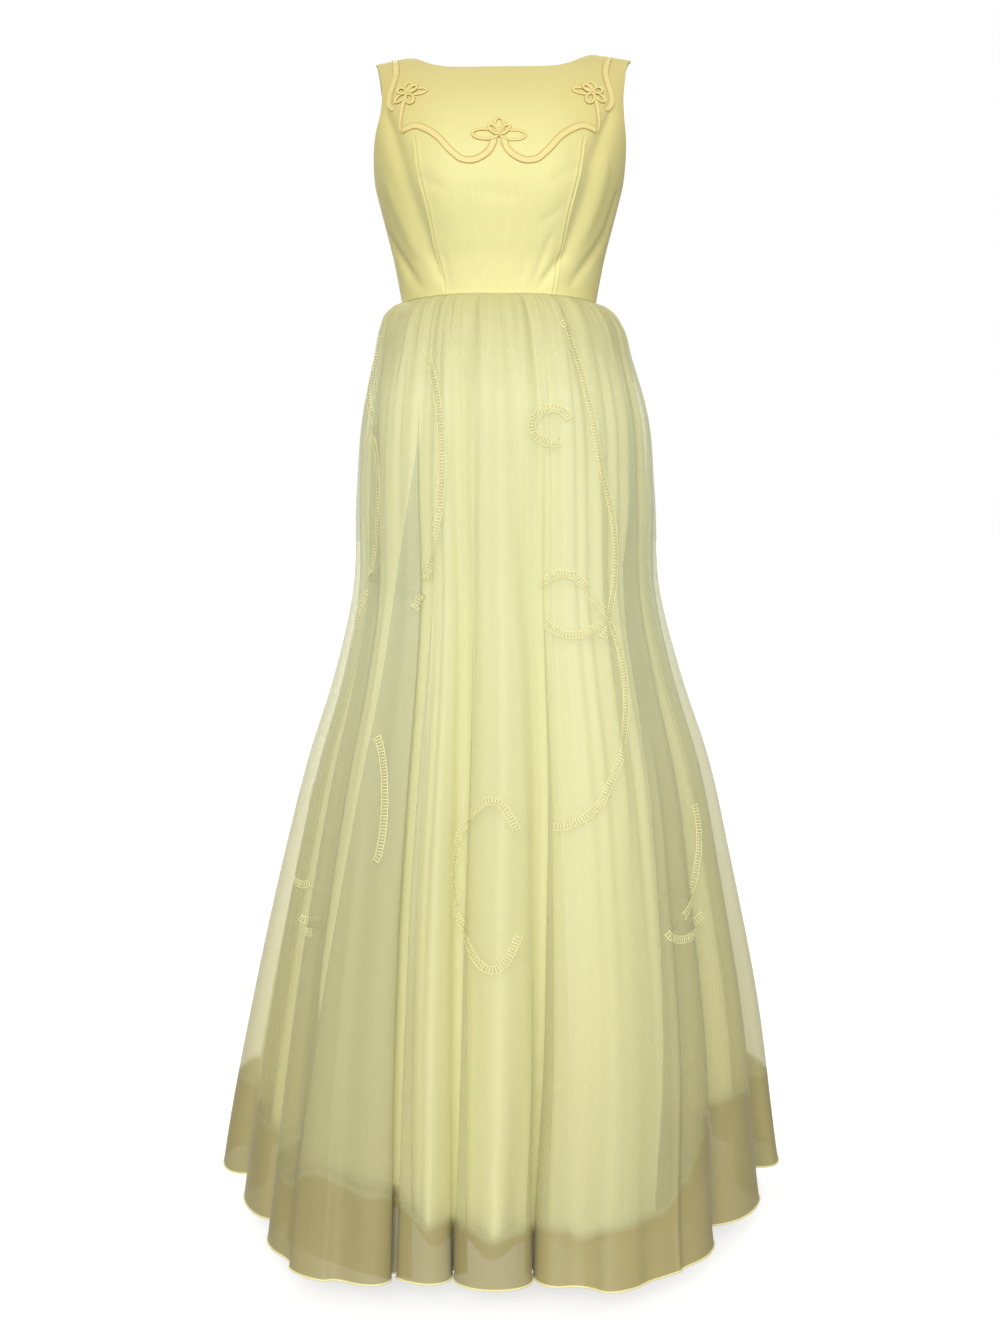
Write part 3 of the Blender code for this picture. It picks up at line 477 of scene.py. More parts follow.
# the bodice's form, the same sections as its solids: a level is a section's number, from waist to shoulder
body = {
    "level": [0, 1, 2, 3, 4, 5, 6, 7, 8, 9, 10, 11],
    "z": [-0.315, -0.271, -0.244, -0.202, -0.160, -0.119, -0.085, -0.055, -0.030, -0.012, -0.0025, 0.0],
    "halfWidth": [0.127, 0.135, 0.141, 0.152, 0.162, 0.168, 0.1695, 0.170, 0.170, 0.1695, 0.169, 0.1685],
    "front": [0.098, 0.104, 0.111, 0.121, 0.126, 0.119, 0.105, 0.085, 0.061, 0.036, 0.015, 0.0],
    "back": [0.090, 0.095, 0.100, 0.108, 0.113, 0.114, 0.108, 0.092, 0.070, 0.044, 0.019, 0.0],
    "squareness": [2.0, 2.1, 2.2, 2.3, 2.4, 2.5, 2.6, 2.6, 2.5, 2.4, 2.3, 2.2],
    "neckHalf": 0.120, "shoulderDrop": 0.19, "shoulderTilt": 0.023, "underarm": 3.8, "top": 11.0,
    "frontNeck": 8.3, "frontNeckCurve": 6.0, "backNeck": 7.4, "backNeckCurve": 4.0, "neckShare": 0.863,
    "seamGap": 0.0003, "wall": 0.0017, "rounding": 0.0005,
    "armEase": 5.0, "armEaseAt": 6.8, "armEaseOver": 1.8, "lean": 0.006, "leanAt": 0.165,
}
# the princess line's breadth, and the armhole's angles from the centre front
lineLevels = [0.0, 1.3, 2.8, 3.9, 5.1, 5.9, 7.2, 11.0]
princessBreadth = smoothCurve(lineLevels, [0.068, 0.078, 0.086, 0.097, 0.107, 0.122, 0.134, 0.139])
armLevels = [3.8, 3.9, 4.15, 4.6, 5.2, 6.0, 6.8, 8.0, 9.5, 11.0]
frontArm = smoothCurve(armLevels, [90.0, 84.5, 79.5, 74.0, 68.0, 61.0, 58.5, 63.0, 71.0, 77.5])
backArm = smoothCurve(armLevels, [90.0, 95.5, 99.5, 104.5, 110.0, 115.0, 117.0, 113.5, 108.0, 102.5])
bodyCurve = {key: smoothCurve(body["level"], body[key])
             for key in ("z", "halfWidth", "front", "back", "squareness")}
levelAtZ = smoothCurve(body["z"], body["level"])
skinStep = {"level": 0.02, "angle": 0.4}  # steps that read the form's slope
waistZ = body["z"][0]
bodiceBottom = waistZ - body["seamGap"] * 0.8


def signedPower(value, power):
    return np.sign(value) * np.abs(value) ** power


def bodyPoint(level, angle):
    level, angle = np.broadcast_arrays(np.asarray(level, float), np.asarray(angle, float))
    turn = np.radians(angle)
    power = 2.0 / bodyCurve["squareness"](level)
    depth = np.where(np.cos(turn) > 0, bodyCurve["front"](level), bodyCurve["back"](level))
    x = bodyCurve["halfWidth"](level) * signedPower(np.sin(turn), power)
    y = -depth * signedPower(np.cos(turn), power)
    rise = np.maximum(0.0, level - body["underarm"]) / (body["top"] - body["underarm"])
    x = x + body["lean"] * rise * (x / body["leanAt"]) ** 2
    drop = body["shoulderDrop"] * np.maximum(0.0, np.abs(x) - body["neckHalf"]) * rise
    z = bodyCurve["z"](level) - drop + body["shoulderTilt"] * x * rise * rise
    return np.stack([x, y, z], axis=-1)


def bodyNormal(level, angle):
    level = np.asarray(level, float)
    upward = (bodyPoint(np.minimum(level + skinStep["level"], body["top"]), angle)
              - bodyPoint(np.maximum(level - skinStep["level"], 0.0), angle))
    across = bodyPoint(level, angle + skinStep["angle"]) - bodyPoint(level, angle - skinStep["angle"])
    return unit(np.cross(across, upward))


def angleAtBreadth(level, x):
    share = np.minimum(np.abs(x) / bodyCurve["halfWidth"](level), 1.0)
    angle = np.degrees(np.arcsin(share ** (bodyCurve["squareness"](level) / 2.0)))
    return np.where(x < 0, -angle, angle)


def angleBehind(level, x):
    return 180.0 - angleAtBreadth(level, x)


# creases of the bodice: width, height, then the places that each one runs through
frontCreases = [
    (0.05, 0.007, (-0.078, -0.166), (-0.073, -0.18)), (0.05, 0.007, (0.078, -0.166), (0.073, -0.18)),
    (0.011, -0.0056, (-0.145, -0.085), (-0.134, -0.113), (-0.12, -0.155), (-0.104, -0.205),
     (-0.089, -0.255), (-0.07, -0.302)),
    (0.009, -0.0046, (-0.152, -0.208), (-0.138, -0.24), (-0.12, -0.272), (-0.1, -0.303)),
    (0.01, 0.0026, (-0.142, -0.17), (-0.124, -0.215), (-0.106, -0.258)),
    (0.006, -0.0018, (-0.124, -0.268), (-0.11, -0.3)),
    (0.011, -0.0054, (0.14, -0.085), (0.128, -0.12), (0.116, -0.152), (0.102, -0.208), (0.084, -0.262),
     (0.052, -0.305)), (0.009, -0.0044, (0.151, -0.18), (0.137, -0.23), (0.116, -0.265), (0.092, -0.3)),
    (0.009, 0.0024, (0.134, -0.15), (0.124, -0.196), (0.108, -0.24)),
    (0.0065, -0.0022, (0.064, -0.242), (0.056, -0.266), (0.044, -0.3)),
    (0.006, -0.001, (0.036, -0.266), (0.026, -0.3)), (0.0055, -0.0014, (-0.07, -0.262), (-0.062, -0.3)),
    (0.007, -0.0012, (-0.098, -0.17), (-0.066, -0.186)),
    (0.0075, -0.0013, (0.096, -0.158), (0.064, -0.178)),
    (0.009, -0.0008, (-0.03, -0.188), (0.022, -0.196)),
    (0.006, -0.0012, (0.078, -0.206), (0.052, -0.226)),
    (0.006, -0.0008, (-0.02, -0.282), (-0.034, -0.306)),
]
backCreases = [
    (0.014, -0.0024, (-0.112, -0.13), (-0.092, -0.19), (-0.07, -0.25)),
    (0.014, -0.0022, (0.114, -0.14), (0.094, -0.2), (0.076, -0.262)),
    (0.008, -0.0014, (-0.06, -0.25), (-0.048, -0.3)), (0.008, -0.0014, (0.054, -0.262), (0.04, -0.304)),
    (0.01, -0.0022, (-0.128, -0.235), (-0.09, -0.285)), (0.01, -0.0022, (0.13, -0.24), (0.094, -0.288)),
    (0.016, -0.001, (0.03, -0.12), (0.06, -0.112)), (0.016, -0.001, (-0.034, -0.14), (-0.07, -0.126)),
]
# a crease is slim, and narrows, when it is so many times longer than wide
creaseForm = {"taper": 0.6, "slim": 6.0, "sideFade": 0.03, "waistFade": 0.02}
girth = 0.15  # radius of the round that creases are laid out on


def creaseRun(places, behind):
    corners = []
    for x, z in places:
        level = levelAtZ(z)
        angle = angleBehind(level, abs(x)) * math.copysign(1, x) if behind else angleAtBreadth(level, x)
        point = bodyPoint(level, angle)
        corners.append(np.array([math.atan2(point[0], point[1] * (1 if behind else -1)) * girth, z]))
    return corners


def creaseHeight(points, creases, behind):
    away = points[..., 1] * (1 if behind else -1)
    here = np.stack([np.arctan2(points[..., 0], away) * girth, points[..., 2]], axis=-1)
    total = np.zeros(points.shape[:-1])
    for width, height, *places in creases:
        corners = creaseRun(places, behind)
        length = sum(np.linalg.norm(end - start) for start, end in zip(corners, corners[1:]))
        taper = creaseForm["taper"] * min(1.0, (length / width / creaseForm["slim"]) ** 2)
        nearest = np.full(points.shape[:-1], 99.0)
        for number, (start, end) in enumerate(zip(corners, corners[1:])):
            run = end - start
            share = np.clip(((here - start) @ run) / (run @ run), 0.0, 1.0)
            distance = np.linalg.norm(here - start - run * share[..., None], axis=-1) / width
            # a crease widens and fades out towards its ends
            along = (number + share) / (len(corners) - 1)
            distance = distance + taper * np.abs(2 * along - 1) ** 3
            nearest = np.minimum(nearest, distance)
        total += height * np.exp(-nearest * nearest)
    side = np.clip(away / creaseForm["sideFade"], 0.0, 1.0)
    waist = np.clip((points[..., 2] - waistZ) / creaseForm["waistFade"], 0.0, 1.0)
    return total * side * waist


# princess seams: they show below the braid
seam = {"depth": 0.0015, "width": 0.0010, "ridge": 0.0009, "ridgeWidth": 0.0018, "offset": 0.0026, "top": 5.0,
        "fade": 0.25}


def seamHeight(points, level, angle):
    line = np.sign(angle) * angleAtBreadth(level, princessBreadth(level))
    reach = np.linalg.norm(points - bodyPoint(level, line), axis=-1)
    shown = np.clip((seam["top"] - level) / seam["fade"], 0.0, 1.0)
    groove = -seam["depth"] * np.exp(-(reach / seam["width"]) ** 2)
    ridge = seam["ridge"] * np.exp(-((reach - seam["offset"]) / seam["ridgeWidth"]) ** 2)
    return (groove + ridge) * shown


# shares from 0 to 1, closer together at both ends
def nearEnds(count, first):
    ends = first * np.array([0.0, 0.12, 0.4, 0.8, 1.4, 2.4, 4.0])
    inner = np.linspace(first * 5.5, 1 - first * 5.5, count)
    return np.concatenate([ends, inner, (1 - ends)[::-1]])


# the bodice's rows, closest along the waist seam
bodiceRows = np.concatenate([np.linspace(0.0, 0.0185, 13), nearEnds(104, 0.0022)[8:]])[:, None] * body["top"]

# the seam allowance lifts the cloth along the waist
waistSeam = {"lift": 0.0004, "high": 0.0018, "rise": 0.0048, "frontCurve": 1.5, "dip": 0.22,
             "dipWide": 0.03, "reach": 0.035, "tuckIn": 0.014, "tuckUp": 0.0025}


def waistRidge(points):
    above = points[..., 2] - waistZ
    return waistSeam["lift"] * np.exp(-(above / waistSeam["high"]) ** 2)


# the skirts' top edges go in behind the bodice
def tuckTop(points):
    points[-1] *= (1 - waistSeam["tuckIn"], 1 - waistSeam["tuckIn"], 1.0)
    points[-1, :, 2] += waistSeam["tuckUp"]
    return points


# the seam rises towards the centre front
def liftWaist(points):
    lifted = points.copy()
    front = np.clip(-points[..., 1] / body["front"][0], 0.0, 1.0) ** waistSeam["frontCurve"]
    dip = 1 - waistSeam["dip"] * np.exp(-(points[..., 0] / waistSeam["dipWide"]) ** 2)
    near = np.exp(-((points[..., 2] - waistZ) / waistSeam["reach"]) ** 2)
    lifted[..., 2] += waistSeam["rise"] * front * dip * near
    return lifted


# columns of the front: share 1 is the princess seam, 2 the side seam or the armhole
def frontColumns():
    seamSteps = np.array([0.0, 0.006, 0.012, 0.019, 0.028, 0.040, 0.058])
    centre = np.concatenate([np.linspace(0.0, 0.92, 26), 1 - seamSteps[::-1]])
    side = np.concatenate([1 + seamSteps[1:], np.linspace(1.09, 1.955, 20),
                           [1.972, 1.985, 1.992, 1.9965, 1.9985, 2.0]])
    half = np.concatenate([centre, side])
    return np.concatenate([-half[:0:-1], half])


def frontShell():
    shares = frontColumns()
    inside = np.minimum(np.abs(shares), 1.0)[None, :]
    neckRise = np.minimum(1.0, inside / body["neckShare"]) ** body["frontNeckCurve"]
    level = bodiceRows * (body["frontNeck"] + (body["top"] - body["frontNeck"]) * neckRise) / body["top"]
    centreAngle = angleAtBreadth(level, inside * princessBreadth(level))
    sideGap = math.degrees(body["seamGap"] / 2 / girth)
    ease = body["armEase"] * np.exp(-((level - body["armEaseAt"]) / body["armEaseOver"]) ** 2)
    edge = np.minimum(frontArm(level) + ease * (shares > 0)[None, :], 90.0 - sideGap)
    beyond = np.clip(np.abs(shares) - 1.0, 0.0, 1.0)[None, :]
    angle = np.sign(shares)[None, :] * (centreAngle + (edge - centreAngle) * beyond)
    points = bodyPoint(level, angle)
    height = creaseHeight(points, frontCreases, False) + seamHeight(points, level, angle)
    height = height + waistRidge(points)
    points = points + bodyNormal(level, angle) * height[..., None]
    points[0, :, 2] = bodiceBottom
    # the shoulder edge stops short of the back's
    points[-1, :, 1] = np.minimum(points[-1, :, 1], -body["seamGap"] / 2)
    return liftWaist(points)


frontPoints = frontShell()
bodiceFront = clothShell("bodiceFront", frontPoints, body["wall"], body["rounding"],
                         gridUvs(frontPoints), "crepe")
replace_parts(bodiceFront, "bodice_front_centre", "bodice_side_front_left", "bodice_side_front_right")

# backs, each side of the zip
zipForm = {"halfOpening": 0.0045, "topMargin": 0.003, "sliderLength": 0.011, "bottom": 0.002,
           "tapeEnds": (0.0004, 0.0015), "tapeReach": (0.0003, 0.0145), "tapeThick": 0.0006,
           "tapeRounding": 0.0006, "tapeDeep": 0.0024,
           "pitch": 0.0026, "toothHigh": 0.0012, "toothDeep": 0.0016, "toothAt": -0.0009}
backStitch = {"depth": 0.0005, "inset": 0.007, "wide": 0.0008}  # the seam that holds the tape


def backShell(side):
    neckAngle = angleBehind(body["top"], body["neckHalf"])
    armAngle = backArm(body["top"])
    centreAngle = angleBehind(body["top"], zipForm["halfOpening"])
    neckShare = (centreAngle - neckAngle) / (centreAngle - armAngle)
    shares = nearEnds(60, 0.0022)[None, :]
    neckRise = np.minimum(1.0, shares / neckShare) ** body["backNeckCurve"]
    level = bodiceRows * (body["backNeck"] + (body["top"] - body["backNeck"]) * neckRise) / body["top"]
    centre = angleBehind(level, zipForm["halfOpening"])
    sideGap = math.degrees(body["seamGap"] / 2 / girth)
    edge = np.maximum(backArm(level), 90.0 + sideGap)
    angle = side * (centre + (edge - centre) * shares)
    points = bodyPoint(level, angle)
    inset = np.linalg.norm(points - bodyPoint(level, side * (centre + 0 * shares)), axis=-1)
    stitch = backStitch["depth"] * np.exp(-((inset - backStitch["inset"]) / backStitch["wide"]) ** 2)
    height = creaseHeight(points, backCreases, True) - stitch + waistRidge(points)
    points = points + bodyNormal(level, angle) * height[..., None]
    points[0, :, 2] = bodiceBottom
    points[-1, :, 1] = np.maximum(points[-1, :, 1], body["seamGap"] / 2)
    return points if side < 0 else points[:, ::-1]


for side, label in ((-1, "Left"), (1, "Right")):
    points = backShell(side)
    piece = clothShell("bodiceBack" + label, points, body["wall"], body["rounding"], gridUvs(points), "crepe")
    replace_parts(piece, "bodice_back_" + label.lower())
print("bodice made")

# the skirts' form: sections from waist to hem, and folds round them
skirt = {
    "z": [-0.3153, -0.326, -0.345, -0.385, -0.45, -0.56, -0.69, -0.8, -0.92, -1.06, -1.25, -1.474, -1.49],
    "halfWidth": [0.127, 0.143, 0.156, 0.168, 0.185, 0.193, 0.196, 0.219, 0.255, 0.285, 0.319, 0.348, 0.350],
    "front": [0.098, 0.113, 0.126, 0.140, 0.155, 0.168, 0.180, 0.203, 0.232, 0.264, 0.307, 0.350, 0.355],
    "back": [0.090, 0.105, 0.120, 0.138, 0.158, 0.176, 0.192, 0.214, 0.243, 0.276, 0.314, 0.350, 0.355],
    "shift": [0.0, 0.001, 0.003, 0.005, 0.008, 0.009, 0.010, 0.012, 0.013, 0.011, 0.009, 0.003, 0.003],
    "fold": [0.0, 0.02, 0.05, 0.10, 0.17, 0.25, 0.34, 0.43, 0.52, 0.63, 0.80, 0.99, 1.0],
    "gap": [0.0003, 0.003, 0.0055, 0.0065, 0.007, 0.007, 0.008, 0.009, 0.010, 0.010, 0.011, 0.012, 0.012],
    "reach": 0.355, "wall": 0.0006, "liningWall": 0.0006, "rounding": 0.0004,
    "liningFront": -1.452, "liningBack": -1.412, "liningFold": 0.17, "liningRise": 0.035,
    "columns": 18, "edgeColumn": 0.006, "liningColumns": 16,
}
# each fold: waist angle, hem angle, reach, then for the cloth up to the next one: roundness, lap, lap's start
foldTable = [
    (-180, -180, 0.325, 0.16, 0, 0), (-168, -170, 0.388, 0.16, 0, 0), (-157, -160, 0.318, 0.1, 2.5, -0.6),
    (-146, -149, 0.392, 0.14, 0, 0), (-134, -137, 0.312, 0.1, 3, -0.5), (-122, -124, 0.398, 0.16, 0, 0),
    (-110, -110, 0.33, 0.14, 0, 0), (-100, -97.5, 0.396, 0.1, 3, -0.55), (-90, -86, 0.325, 0.16, 0, 0),
    (-84, -70.5, 0.361, 0.06, 5, -0.5), (-76, -57.5, 0.285, 0.06, 5, -0.42), (-66, -45, 0.386, 0.1, 0, 0),
    (-57, -36, 0.406, 0.08, 0, 0), (-47, -27.5, 0.39, 0.04, 29, -0.42),
    (-39, -21, 0.345, 0.06, 2.7, -0.6), (-31, -15, 0.362, 0.06, 0.5, -0.4),
    (-23, -10, 0.312, 0.04, 2.3, -0.36), (-4, -1.5, 0.366, 0.1, 0.5, -0.5),
    (15, 6.5, 0.311, 0.04, 3.4, -0.5), (25, 12, 0.364, 0.08, 0, 0), (37, 21, 0.394, 0.06, 0, 0),
    (50, 30, 0.384, 0.08, 0, 0), (64, 38.5, 0.378, 0.02, 17, -0.38), (76, 53, 0.278, 0.04, 4, -0.5),
    (83, 70.5, 0.363, 0.12, 0, 0), (90, 83, 0.328, 0.16, 0, 0), (100, 97, 0.396, 0.1, 3, -0.55),
    (110, 109, 0.335, 0.16, 0, 0), (121, 121, 0.39, 0.1, 3, -0.6), (132, 133, 0.305, 0.18, 0, 0),
    (144, 146, 0.395, 0.16, 0, 0), (156, 158, 0.32, 0.1, 3, -0.5), (168, 169, 0.386, 0.16, 0, 0),
    (180, 180, 0.325, 0.16, 0, 0),
]
folds = np.array(foldTable, float)
lastFold = len(folds) - 1
drops = [-z for z in skirt["z"]]
skirtCurve = {key: smoothCurve(drops, skirt[key])
              for key in ("halfWidth", "front", "back", "shift", "fold", "gap")}
hemZ = skirt["z"][-1]
leftSeam, rightSeam = 8, 25  # folds at the two side seams
pipe = {"edge": 0.60, "lip": 0.016, "lipShare": 0.35, "fadeIn": 0.30, "startShare": 0.3}


# the form at places round the skirt, counted in folds from the centre back
def foldsAt(s):
    index = np.clip(np.asarray(s).astype(int), 0, lastFold - 1)
    share = s - index
    ease = (1 - np.cos(math.pi * share)) / 2
    waist, hem, reach, tuck, lap, lapStart = [folds[index, column] for column in range(6)]
    waistStep, hemStep, reachStep = [folds[index + 1, column] - folds[index, column] for column in range(3)]
    falling = reachStep < 0
    way = np.where(falling, 1.0, -1.0)
    t = np.where(falling, share, 1 - share)
    crest = np.where(falling, reach, reach + reachStep)
    deep = np.abs(reachStep)
    # a lapped fold is a round pipe to its edge, then turns back under itself
    bend = np.clip(t / pipe["edge"], 0.0, 1.0) * math.pi / 2
    under = np.clip((t - pipe["edge"]) / (1 - pipe["edge"]), 0.0, 1.0)
    lip = np.minimum(pipe["lip"], pipe["lipShare"] * deep)
    turned = np.abs(hemStep) * np.sin(bend) - lap * np.sin(math.pi * under)
    hollow = crest - (deep - lip) * (1 - np.cos(bend)) - lip * under
    lapped = lap > 0
    return {"waist": waist + waistStep * share, "hem": hem + hemStep * share,
            "reach": reach + reachStep * ease, "tuck": tuck * hemStep * np.sin(2 * math.pi * share),
            "lean": hemStep * np.sin(math.pi * share) * np.sign(reachStep),
            "pipeTurn": np.where(lapped, way * (turned - np.abs(hemStep) * t), 0.0),
            "pipeReach": np.where(lapped, hollow - reach - reachStep * ease, 0.0), "pipeStart": lapStart}


# gathers below the waist, every fifth one stronger and longer
gatherForm = {"count": 92, "height": 0.0074, "start": 0.0035, "strong": 1.5, "longest": 1.9, "spread": 5.0,
              "puff": 0.0012, "puffLong": 0.02}


def gatherTable(seed):
    dice = random.Random(seed)
    gathers = []
    for number in range(gatherForm["count"]):
        place = (number + dice.uniform(-0.35, 0.35)) * lastFold / gatherForm["count"]
        strong = number % 5 == 0
        width = dice.uniform(0.06, 0.20)
        strength = dice.uniform(0.3, 1.0) ** 2 * (gatherForm["strong"] if strong else 1.0)
        length = dice.uniform(0.03, 0.09) * (gatherForm["longest"] if strong else 1.0)
        gathers.append((place, width, strength, length))
    return gathers


gathers = gatherTable(7)

# soft creases down the skirt: fold place, top, bottom, half width in folds, height
softCreases = [
    (9.3, -0.52, -1.49, 0.16, 0.004), (10.5, -0.75, -1.49, 0.12, 0.0035),
    (11.6, -0.6, -1.4, 0.14, -0.004), (12.5, -0.9, -1.49, 0.15, 0.003),
    (13.35, -0.48, -1.1, 0.12, -0.0035), (14.6, -0.42, -1.2, 0.14, 0.0045),
    (15.5, -0.62, -1.49, 0.12, 0.003), (16.45, -0.4, -0.95, 0.1, -0.0035),
    (17.3, -0.55, -1.35, 0.13, 0.0035), (18.4, -0.46, -1.15, 0.11, 0.0032),
    (19.6, -0.7, -1.49, 0.15, -0.0035), (20.4, -0.44, -1.05, 0.12, 0.004),
    (21.5, -0.8, -1.49, 0.14, 0.0032), (22.45, -0.5, -1.3, 0.12, -0.004),
    (23.5, -0.6, -1.49, 0.12, 0.004), (24.4, -0.45, -1.1, 0.12, 0.0032), (1.4, -0.5, -1.3, 0.14, 0.0036),
    (3.3, -0.6, -1.49, 0.13, -0.0036), (4.6, -0.45, -1.05, 0.12, 0.0038),
    (6.4, -0.7, -1.49, 0.14, 0.0034), (7.5, -0.48, -1.2, 0.12, -0.0034),
    (26.5, -0.52, -1.25, 0.13, 0.0036), (28.4, -0.62, -1.49, 0.14, -0.0036),
    (29.6, -0.46, -1.1, 0.12, 0.004), (31.3, -0.7, -1.49, 0.14, 0.0034),
    (32.5, -0.5, -1.15, 0.12, 0.0034),
]
softFade = 0.15


def softStep(value):
    value = np.clip(value, 0.0, 1.0)
    return value * value * (3 - 2 * value)


def clothRelief(s, z, gatherShare, creaseShare):
    drop = waistZ - z
    total = np.zeros(np.broadcast(s, z).shape)
    start = softStep(drop / gatherForm["start"])
    total += gatherShare * gatherForm["puff"] * start * np.exp(-drop / gatherForm["puffLong"])
    for place, width, strength, length in gathers:
        fade = start * np.exp(-drop / length)
        spread = width * (1 + gatherForm["spread"] * drop)
        total += gatherShare * gatherForm["height"] * strength * fade * np.exp(-((s - place) / spread) ** 2)
    for place, top, bottom, width, height in softCreases:
        toHem = 1.0 if bottom <= hemZ else 0.0
        fade = softStep((top - z) / softFade) * softStep((z - bottom) / softFade + toHem)
        total += creaseShare * height * fade * np.exp(-((s - place) / width) ** 2)
    return total


# points of a skirt at fold places and heights, with the folds turned and lapped as much as asked
def skirtPoints(s, z, inward=0.0, tuck=1.0, lap=1.0, lean=0.0, relief=0.0):
    fold = foldsAt(s)
    depthShare = (waistZ - z) / (waistZ - hemZ)
    foldShare = skirtCurve["fold"](-z)
    angle = fold["waist"] + (fold["hem"] - fold["waist"]) * depthShare
    angle = angle + (fold["tuck"] * tuck + fold["lean"] * lean) * foldShare
    piped = lap * softStep((fold["pipeStart"] - z) / pipe["fadeIn"])
    angle = angle + fold["pipeTurn"] * piped * (pipe["startShare"] + (1 - pipe["startShare"]) * foldShare)
    turn = np.radians(angle)
    depth = np.where(np.cos(turn) > 0, skirtCurve["front"](-z), skirtCurve["back"](-z))
    reach = 1.0 / np.hypot(np.sin(turn) / skirtCurve["halfWidth"](-z), np.cos(turn) / depth)
    reach = reach + (fold["reach"] + fold["pipeReach"] * piped - skirt["reach"]) * foldShare - inward + relief
    return np.stack([skirtCurve["shift"](-z) + reach * np.sin(turn), -reach * np.cos(turn),
                     z + 0 * reach], axis=-1)


def overskirtPoints(s, z):
    return skirtPoints(s, z, relief=clothRelief(s, z, 1.0, 1.0))


def hemLengths(s):
    ring = skirtPoints(s[None, :], np.full((1, 1), hemZ))
    return lengthsAlong(ring, 1)[0]


def skirtUvs(s, points):
    return np.stack(np.broadcast_arrays(hemLengths(s)[None, :], lengthsAlong(points, 0)), axis=2)


# columns spread partly by folds and partly by the hem's length
columnShares = {"folds": 0.45, "length": 0.55}


def columnPlaces(first, last, columns):
    s = np.linspace(first, last, 4000)
    length = hemLengths(s)
    weight = (columnShares["folds"] * (s - first) / (last - first)
              + columnShares["length"] * length / length[-1])
    return np.interp(np.linspace(0, 1, (last - first) * columns + 1), weight, s)


# drops of a skirt's rows below the waist, closest at both ends
rowDrops = np.concatenate([
    [0.0, 0.0006, 0.0015, 0.003, 0.005, 0.0075, 0.0105], np.linspace(0.014, 0.114, 26),
    0.118 + 0.0072 * np.arange(20) ** 1.06, np.linspace(0.302, 1.14, 72),
    [1.155, 1.165, 1.170, 1.1725, 1.1738, 1.1745, 1.1747]])
skirtTop = waistZ - body["seamGap"]
skirtRows = skirtTop - rowDrops[::-1] / rowDrops[-1] * (skirtTop - hemZ)

# how far the lining's hem rises at each fold place
hemRises = [(0, 0.0), (3, 0.012), (6, -0.006), (8.4, -0.006), (9.6, -0.006), (10.4, -0.030), (11.0, -0.032),
            (11.6, -0.012), (12.2, 0.008), (13.4, 0.014), (14.05, 0.010), (14.3, 0.002), (14.6, -0.003),
            (15.0, -0.006), (15.5, -0.006), (15.9, -0.002), (16.15, -0.008), (16.5, -0.015), (17.0, -0.017),
            (17.6, -0.015), (18.0, -0.007), (18.5, -0.008), (19.4, -0.007), (20.2, -0.006), (21.0, -0.014),
            (21.9, -0.028), (22.2, -0.028), (22.55, 0.016), (22.8, 0.028), (23.4, 0.034), (24.6, 0.006),
            (26, -0.006), (29, 0.012), (33, 0.0)]
liningHemRise = smoothCurve(*zip(*hemRises))


# the lining's hem rises from the front to the sides, and waves: height, waves for each fold, start
liningSide = {"from": 12, "over": 30.0}
liningWaves = [(0.003, 2.3, 0.0), (0.002, 5.1, 1.0)]


def liningHem(s):
    hemAngle = foldsAt(s)["hem"]
    backShare = np.minimum(1.0, 1 - np.cos(np.radians(hemAngle)))
    hemAt = skirt["liningFront"] + (skirt["liningBack"] - skirt["liningFront"]) * backShare
    sideShadeShare = (np.abs(hemAngle) - liningSide["from"]) / liningSide["over"]
    hemAt = hemAt + skirt["liningRise"] * softStep(sideShadeShare)
    hemAt = hemAt + liningHemRise(s)
    for height, rate, start in liningWaves:
        hemAt = hemAt + height * np.sin(s * rate + start)
    return hemAt


# the overskirt's inmost reach in every direction, which the lining stays inside
envelopeForm = {"columns": 1800, "samples": 9000, "narrow": 2, "wide": 7, "widenFrom": -0.42,
                "widenOver": 0.30, "clear": 0.0012, "gapShare": 0.5, "mostGap": 0.003}


def rolled(values, reach):
    return [np.roll(values, step, axis=-1) for step in range(-reach, reach + 1)]


def envelopeColumns(x, y):
    return (np.degrees(np.arctan2(x, -y)) + 180.0) * (envelopeForm["columns"] / 360)


def innerEnvelope():
    s = np.linspace(0, lastFold, envelopeForm["samples"])[None, :]
    z = skirtRows[:, None]
    points = overskirtPoints(s, z)
    x = points[..., 0] - skirtCurve["shift"](-z)
    column = envelopeColumns(x, points[..., 1]).astype(int) % envelopeForm["columns"]
    row = np.broadcast_to(np.arange(len(skirtRows))[:, None], column.shape)
    inner = np.full((len(skirtRows), envelopeForm["columns"]), 9.0)
    np.minimum.at(inner, (row, column), np.hypot(x, points[..., 1]))
    limits = []
    for reach in (envelopeForm["narrow"], envelopeForm["wide"]):
        lowest = np.min(rolled(inner, 2 * reach), axis=0)
        for _ in range(2):
            lowest = np.mean(rolled(lowest, reach), axis=0)
        limits.append(lowest)
    narrow, wide = limits
    return narrow + (wide - narrow) * softStep((envelopeForm["widenFrom"] - z) / envelopeForm["widenOver"])


envelope = innerEnvelope()


